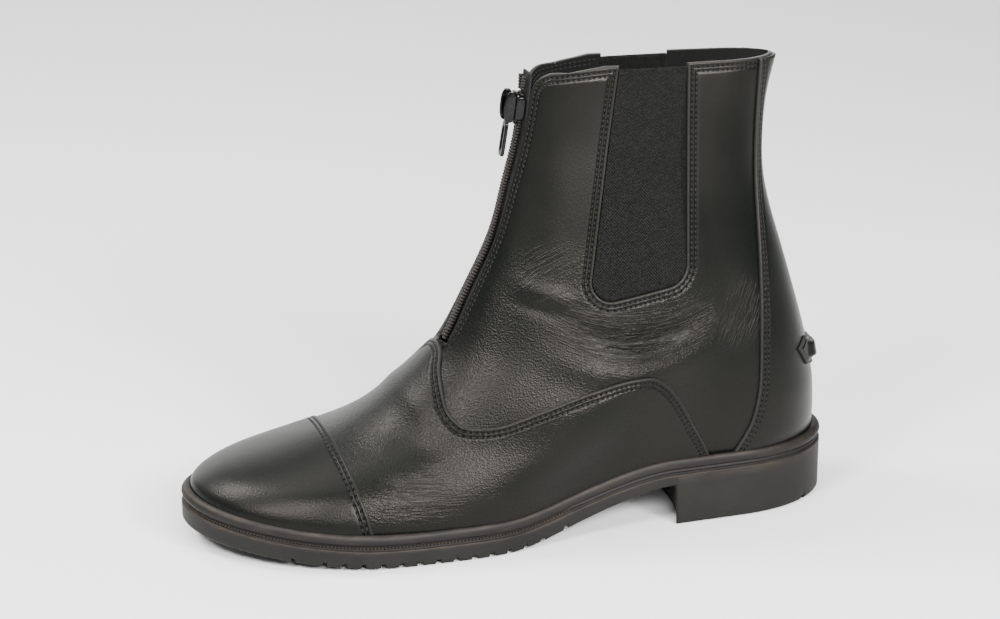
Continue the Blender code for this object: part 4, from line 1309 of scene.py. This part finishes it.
def add_zip_teeth():
    """Closed chain of two rows that mesh at the middle, and the two open rows above the slider."""
    low = np.arange(ZIP_LOW_Z + 1.0, SLIDER_HIGH_Z - 0.5, TOOTH_PITCH)
    middle = np.full(len(low), TOOTH_Y)
    points, faces = gather([teeth(low, -1, middle, TOOTH_REACH),
                            teeth(low + TOOTH_PITCH / 2, 1, middle, TOOTH_REACH)])
    add_mesh("zip_teeth_closed", points, faces, [TEETH], slot="zip_teeth", replaces=("zip_chain",))
    high = np.arange(ENDS_LOW_Z + 1.0, ENDS_TOP_Z, TOOTH_PITCH)
    apart = np.interp(high, (ENDS_LOW_Z, ENDS_TOP_Z), END_TOOTH_Y)
    for name, side in (("outer", -1), ("inner", 1)):
        points, faces = teeth(high, side, apart, END_TOOTH_REACH)
        add_mesh(f"zip_teeth_{name}", points, faces, [TEETH], slot="zip_teeth",
                 replaces=(f"zip_end_{name}",))


def add_slider():
    """Slider: rounded plate with two cheeks, a crown, two ears and the pin the tab hangs on."""
    middle = (SLIDER_LOW_Z + SLIDER_HIGH_Z) / 2
    height = SLIDER_HIGH_Z - SLIDER_LOW_Z
    x, slope = front_line(middle)
    lean = float(np.arctan(slope))
    plate_x = float(x) + CHAIN_FRONT - CLEAR - SLIDER_PLATE / 2
    crown = (CROWN[0], SLIDER_WIDTH * CROWN[1], height * CROWN[2])
    cheek = (SLIDER_PLATE + CHEEK[0], CHEEK[1], height * CHEEK[2])
    ear = (EAR_DEPTH, EAR_THICK, 2.4 * EAR_RADIUS)
    blocks = [pillow((SLIDER_PLATE, SLIDER_WIDTH, height), (plate_x, 0, middle), 5.0, (36, 16), lean),
              pillow(crown, (plate_x + CROWN_PLACE[0], 0, middle + CROWN_PLACE[1]), 3.0, (28, 12), lean)]
    for side in (-1, 1):
        cheek_y = side * (SLIDER_WIDTH / 2 + CHEEK_PLACE[1])
        ear_y = side * (EAR_INNER + EAR_THICK / 2)
        blocks.append(pillow(cheek, (plate_x + CHEEK_PLACE[0], cheek_y, middle), 4.0, (20, 10), lean))
        blocks.append(pillow(ear, (PIN_X + 0.7, ear_y, PIN_Z), 3.0, (24, 10)))
        blocks.append(pillow(HUMP, (PIN_X + 0.2, side * HUMP_Y, PIN_Z + 2.4), 2.6, (28, 14), lean))
    turn = np.linspace(0, 2 * np.pi, 20, endpoint=False)
    across = np.array((-1, -0.96, 0.96, 1))[:, None] * (EAR_INNER + EAR_THICK)
    wide = np.array((0.4, 1, 1, 0.4))[:, None] * PIN_RADIUS
    pin = spread(PIN_X + wide * np.cos(turn), across, PIN_Z + wide * np.sin(turn))
    blocks.append((pin.reshape(-1, 3), grid_faces(len(wide), len(turn), close_columns=True)))
    points, faces = gather(blocks)
    add_mesh("zip_slider_body", points, faces, [METAL], slot="zip_metal", replaces=("zip_slider",))


def add_pull():
    """Slotted tab hanging from the pin: a flat ring between a rounded outline and its slot, and an eye."""
    turn = np.linspace(0, 2 * np.pi, 64, endpoint=False)

    def outline(half_width, low, high):
        """Rounded oblong, half across and half down from its middle."""
        y = half_width * superellipse(np.cos(turn), 5.0)
        z = (low + high) / 2 + (high - low) / 2 * superellipse(np.sin(turn), 5.0)
        return np.stack([y, z], axis=-1)

    outer = outline(PULL_WIDTH / 2, -PULL_LENGTH, -PULL_NECK)
    slot = outline(PULL_SLOT_WIDTH / 2, -PULL_SLOT_TOP - PULL_SLOT_LENGTH, -PULL_SLOT_TOP)
    ring = ((0.0, -0.5), (0.0, 0.5), (0.1, 0.88), (0.28, 1.0), (0.72, 1.0), (0.9, 0.88), (1.0, 0.5),
            (1.0, -0.5), (0.9, -0.88), (0.72, -1.0), (0.28, -1.0), (0.1, -0.88))
    loops = []
    for share, thick in ring:
        flat = outer + (slot - outer) * share
        loops.append(np.column_stack([np.full(len(flat), thick * PULL_THICK / 2), flat]))
    tab = (np.stack(loops).reshape(-1, 3),
           grid_faces(len(ring), len(turn), close_rows=True, close_columns=True))
    profile = np.array(((PULL_HOLE_RADIUS, -0.5), (PULL_EYE_RADIUS * 0.9, -0.5), (PULL_EYE_RADIUS, -0.42),
                        (PULL_EYE_RADIUS, 0.42), (PULL_EYE_RADIUS * 0.9, 0.5), (PULL_HOLE_RADIUS, 0.5)))
    spin = np.linspace(0, 2 * np.pi, 28, endpoint=False)
    radius, across = profile[:, 0:1], profile[:, 1:2] * PULL_EYE_WIDTH
    eye = (spread(radius * np.cos(spin), across, radius * np.sin(spin)).reshape(-1, 3),
           grid_faces(len(profile), len(spin), close_rows=True, close_columns=True))
    neck_z = -PULL_HOLE_RADIUS - 0.25 - PULL_NECK / 2
    neck = pillow((PULL_THICK, PULL_EYE_WIDTH, PULL_NECK), (0, 0, neck_z), 6.0, (24, 10))
    points, faces = gather([tab, eye, neck])
    hung = leaned(points, np.radians(PULL_TILT_DEG)) + (PIN_X, 0, PIN_Z)
    add_mesh("zip_pull_tab", hung, faces, [METAL], body="pull_tab", slot="zip_metal",
             replaces=("zip_pull",))


# Sole

def sole_stations():
    """Shares along the sole: even around it, with extra ones at the notches and the heel's front."""
    share = (1 - np.cos(np.linspace(0, np.pi, SOLE_STATIONS))) / 2
    half = NOTCH_WIDTH / 2
    extra = [x + step for x in NOTCH_X for step in (-half - 0.15, -half + 0.1, half - 0.1, half + 0.15)]
    extra += [HEEL_BREAST_X - BREAST_SLOPE, HEEL_BREAST_X]
    extra = (np.array(extra) - TOE_END_X) / SOLE_LENGTH
    clear = np.abs(share[:, None] - extra[None]).min(axis=1) > 0.4 / SOLE_LENGTH
    return np.sort(np.concatenate([share[clear], extra]))


def sole_edge(share, side, inset):
    """Plan outline of the sole moved in by an inset: table of widths with both ends rounded."""
    length = SOLE_LENGTH - 2 * inset
    width = np.interp(share, SHARES, SOLE_WIDTHS) - inset
    width = width * round_end(share * length, SOLE_NOSE - inset)
    width = width * round_end((1 - share) * length, SOLE_HEEL_ROUND - inset)
    return TOE_END_X + inset + share * length, np.interp(share, SHARES, LEFT_CURVE) + side * width


def under_sole(x):
    """Underside with the heel and the notches: the heel stands on the floor behind its front face."""
    low = np.where(x > HEEL_BREAST_X - BREAST_SLOPE / 2, 0.0, sole_bottom(x))
    gap = np.abs(x[..., None] - np.array(NOTCH_X)).min(axis=-1)
    return low + NOTCH_DEPTH * (gap < NOTCH_WIDTH / 2 - 0.05)


def add_sole():
    """Moulded unit: one closed ring of points at every station along it.

    A ring goes down the outer wall, across the underside, up the inner wall and back across the
    top. The wall has a rounded lower edge, and a groove under the welt with a thin rib at the back.
    """
    share = sole_stations()
    turn = np.linspace(0, np.pi / 2, 6)
    # Inset, height, what the height counts from (0 underside, 1 top, 2 share between), and share of the rib
    wall = [(GROOVE_DEPTH, 0.0, 1, 0), (GROOVE_DEPTH, -0.45, 1, 0), (GROOVE_DEPTH, -0.7, 1, 0.8),
            (GROOVE_DEPTH, -1.25, 1, 0.8), (GROOVE_DEPTH, -1.5, 1, 0), (GROOVE_DEPTH, -2.05, 1, 0),
            (0.45, -2.25, 1, 0), (0.1, -GROOVE_HEIGHT, 1, 0), (0.0, -GROOVE_HEIGHT - 0.3, 1, 0)]
    wall += [(0.0, mix, 2, 0) for mix in (0.8, 0.6, 0.4, 0.2)]
    wall += [(SOLE_EDGE_ROUND * (1 - np.cos(a)), SOLE_EDGE_ROUND * (1 - np.sin(a)), 0, 0) for a in turn]
    plan_x = TOE_END_X + share * SOLE_LENGTH
    ribbed = RIB_REACH * np.clip((plan_x - MOCK_STITCH_END_X) / RIB_FADE, 0, 1)
    under = under_sole(plan_x)
    top = sole_top(plan_x)
    sides = []
    for side in (-1, 1):
        rows = []
        for inset, height, kind, rib in wall:
            x, y = sole_edge(share, side, inset)
            fx, fy = sole_edge(share, side, 0.0)
            x, y = x + (fx - x) * rib * ribbed, y + (fy - y) * rib * ribbed
            low = under + SOLE_EDGE_ROUND
            levels = (under + height, top + height, low + (top - GROOVE_HEIGHT - 0.3 - low) * height)
            rows.append(np.stack([x, y, levels[kind]], axis=-1))
        sides.append(np.stack(rows, axis=1))
    outer, inner = sides
    across = np.linspace(0, 1, 15)[1:-1]
    hollow = BREAST_HOLLOW * np.clip(1 - np.abs(plan_x - HEEL_BREAST_X) / BREAST_FADE, 0, 1)
    floor = outer[:, -1:] + (inner[:, -1:] - outer[:, -1:]) * across[None, :, None]
    floor[..., 0] += hollow[:, None] * (1 - (2 * across - 1) ** 2)[None]
    roof = inner[:, :1] + (outer[:, :1] - inner[:, :1]) * across[None, :, None]
    ring = np.concatenate([outer, floor, inner[:, ::-1], roof], axis=1)
    wear_and_highlight = np.zeros(ring.shape[:2])
    # the lip under the groove gets the browner tone: partly wear, partly painted highlight
    wear_and_highlight[:, 6:9] = 0.5
    stations, around = ring.shape[:2]
    add_mesh("sole_unit", ring, grid_faces(stations, around, close_columns=True)[:, ::-1], [SOLE],
             slot="sole_rubber", replaces=("outsole",), marks={"wear_and_highlight": wear_and_highlight})
    mock = Seam()
    for side in (-1, 1):
        x, y = sole_edge(np.linspace(0, 1, 3000), side, GROOVE_DEPTH - MOCK_SUNK)
        line = np.stack([x, y, sole_top(x) - MOCK_DROP], axis=-1)
        line = line[x < MOCK_STITCH_END_X + MOCK_STITCH_FADE]
        run = run_of(line)
        centre = points_at(np.arange(MOCK_START, run[-1], MOCK_PITCH), run, line)
        ahead = unit(np.gradient(centre, axis=0))
        out = unit(np.cross(ahead, (0.0, 0.0, 1.0)) * -side)
        mock.add(centre, ahead, out, MOCK_HALF, MOCK_RADIUS)
    mock.mesh("sole_mock_stitches", MOCK_THREAD, "sole_rubber")


def add_welt():
    """Rounded bead round the foot of the upper: a closed profile carried along the sole's edge."""
    angle = np.linspace(0, 2 * np.pi, 420, endpoint=False)
    share = (1 - np.cos(angle)) / 2
    side = -np.sign(np.sin(angle))
    x, y = sole_edge(share, side, WELT_RIM)
    outer = np.stack([x, y], axis=-1)
    foot = last(np.stack([angle, np.full_like(angle, 0.02)], axis=-1))[:, :2]
    profile = ((-0.05, 0.0), (0.5, 0.0), (0.92, 0.0), (1.0, 0.05), (1.06, 0.18), (1.10, 0.34),
               (1.09, 0.50), (1.03, 0.66), (0.93, 0.80), (0.80, 0.91), (0.66, 0.97), (0.52, 0.98),
               (0.42, 0.94), (0.34, 0.84), (0.28, 0.80), (0.20, 0.84), (0.10, 0.90), (-0.05, 0.92))
    floor = sole_top(outer[:, 0]) + 0.05
    rows = []
    for out, up in profile:
        spot = foot + (outer - foot) * out
        rows.append(np.column_stack([spot, floor + up * WELT_HEIGHT]))
    wear_and_highlight = np.zeros((len(profile), len(angle)))
    # the bead's upper face and shoulder get the browner tone: partly wear, partly painted highlight
    wear_and_highlight[4:12] = 0.15
    wear_and_highlight[8:10] = 0.6
    faces = grid_faces(len(profile), len(angle), close_rows=True, close_columns=True)
    add_mesh("welt_bead", np.stack(rows), faces, [BEAD], slot="welt_rubber", replaces=("welt",),
             marks={"wear_and_highlight": wear_and_highlight})


# The boot

SEAMS = Seam()
half_upper("upper_outer_half", 1)
half_upper("upper_inner_half", -1)
add_vamp()
add_toe_cap()
add_back_strip()
add_spur_rest()
add_gore("elastic_outer", 1)
add_gore("elastic_inner", -1)
SEAMS.mesh("upper_stitches", THREAD, "leather")
add_zip_tape()
add_zip_teeth()
add_slider()
add_pull()
add_sole()
add_welt()
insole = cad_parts["insole"]
insole.data.materials.clear()
insole.data.materials.append(FOOTBED)

# Floor, light and camera

FLOOR_SIZE = 6.0
FLOOR_DROP = 0.0002
FLOOR_STEPS = 9
floor_side = np.linspace(-FLOOR_SIZE / 2, FLOOR_SIZE / 2, FLOOR_STEPS)
floor_points = spread(floor_side[None], floor_side[:, None], -FLOOR_DROP).reshape(-1, 3)
floor_mesh = bpy.data.meshes.new("floor")
floor_mesh.from_pydata(floor_points.tolist(), [], grid_faces(FLOOR_STEPS, FLOOR_STEPS).tolist())
floor_mesh.materials.append(pale_paper("pale floor"))
floor = put_in("floor", floor_mesh)

world = bpy.data.worlds.new("studio")
bpy.context.scene.world = world
world.use_nodes = True
sky = world.node_tree.nodes["Background"]
sky.inputs["Color"].default_value = colour(1.0, 1.0, 1.0)
sky.inputs["Strength"].default_value = 0.38

# Name, place, aim, width and height in metres, and power in watts
LAMPS = (
    ("left", (-0.78, 0.46, 1.08), (-0.08, 0.0, 0.04), (0.4, 0.3), 22.0),
    ("corner", (-0.84, -0.66, 0.98), (-0.02, 0.0, 0.06), (0.4, 0.3), 31.0),
    ("front", (-0.06, -1.25, 0.81), (-0.01, 0.0, 0.06), (0.6, 0.3), 32.0),
    ("right", (0.52, -1.17, 0.79), (0.01, 0.0, 0.06), (0.4, 0.3), 43.0),
    ("overhead", (0.10, 0.25, 1.40), (0.0, 0.0, 0.05), (1.4, 1.0), 20.0),
    ("back", (0.10, 1.70, 0.50), (-0.03, 0.0, 0.05), (2.2, 0.8), 18.0),
)
for name, at, aim, (wide, high), power in LAMPS:
    lamp = bpy.data.lights.new(name, "AREA")
    lamp.shape = "RECTANGLE"
    lamp.size = wide
    lamp.size_y = high
    lamp.energy = power
    holder = put_in(name, lamp)
    holder.location = at
    holder.rotation_euler = (Vector(aim) - Vector(at)).to_track_quat("-Z", "Y").to_euler()

CAMERA_AZIMUTH = np.radians(-16.65)
CAMERA_HEIGHT = np.radians(18.79)
CAMERA_AWAY = 1.1
CAMERA_AIM = Vector((-0.00225, 0.0, 0.08))
back_way = Vector((np.sin(CAMERA_AZIMUTH) * np.cos(CAMERA_HEIGHT),
                   -np.cos(CAMERA_AZIMUTH) * np.cos(CAMERA_HEIGHT), np.sin(CAMERA_HEIGHT)))
lens = bpy.data.cameras.new("camera")
lens.lens = 96.27
lens.sensor_width = 36.0
lens.shift_x = -0.00503
lens.shift_y = 0.01914
camera = put_in("camera", lens)
camera.location = CAMERA_AIM + back_way * CAMERA_AWAY
camera.rotation_euler = back_way.to_track_quat("Z", "Y").to_euler()
bpy.context.scene.camera = camera
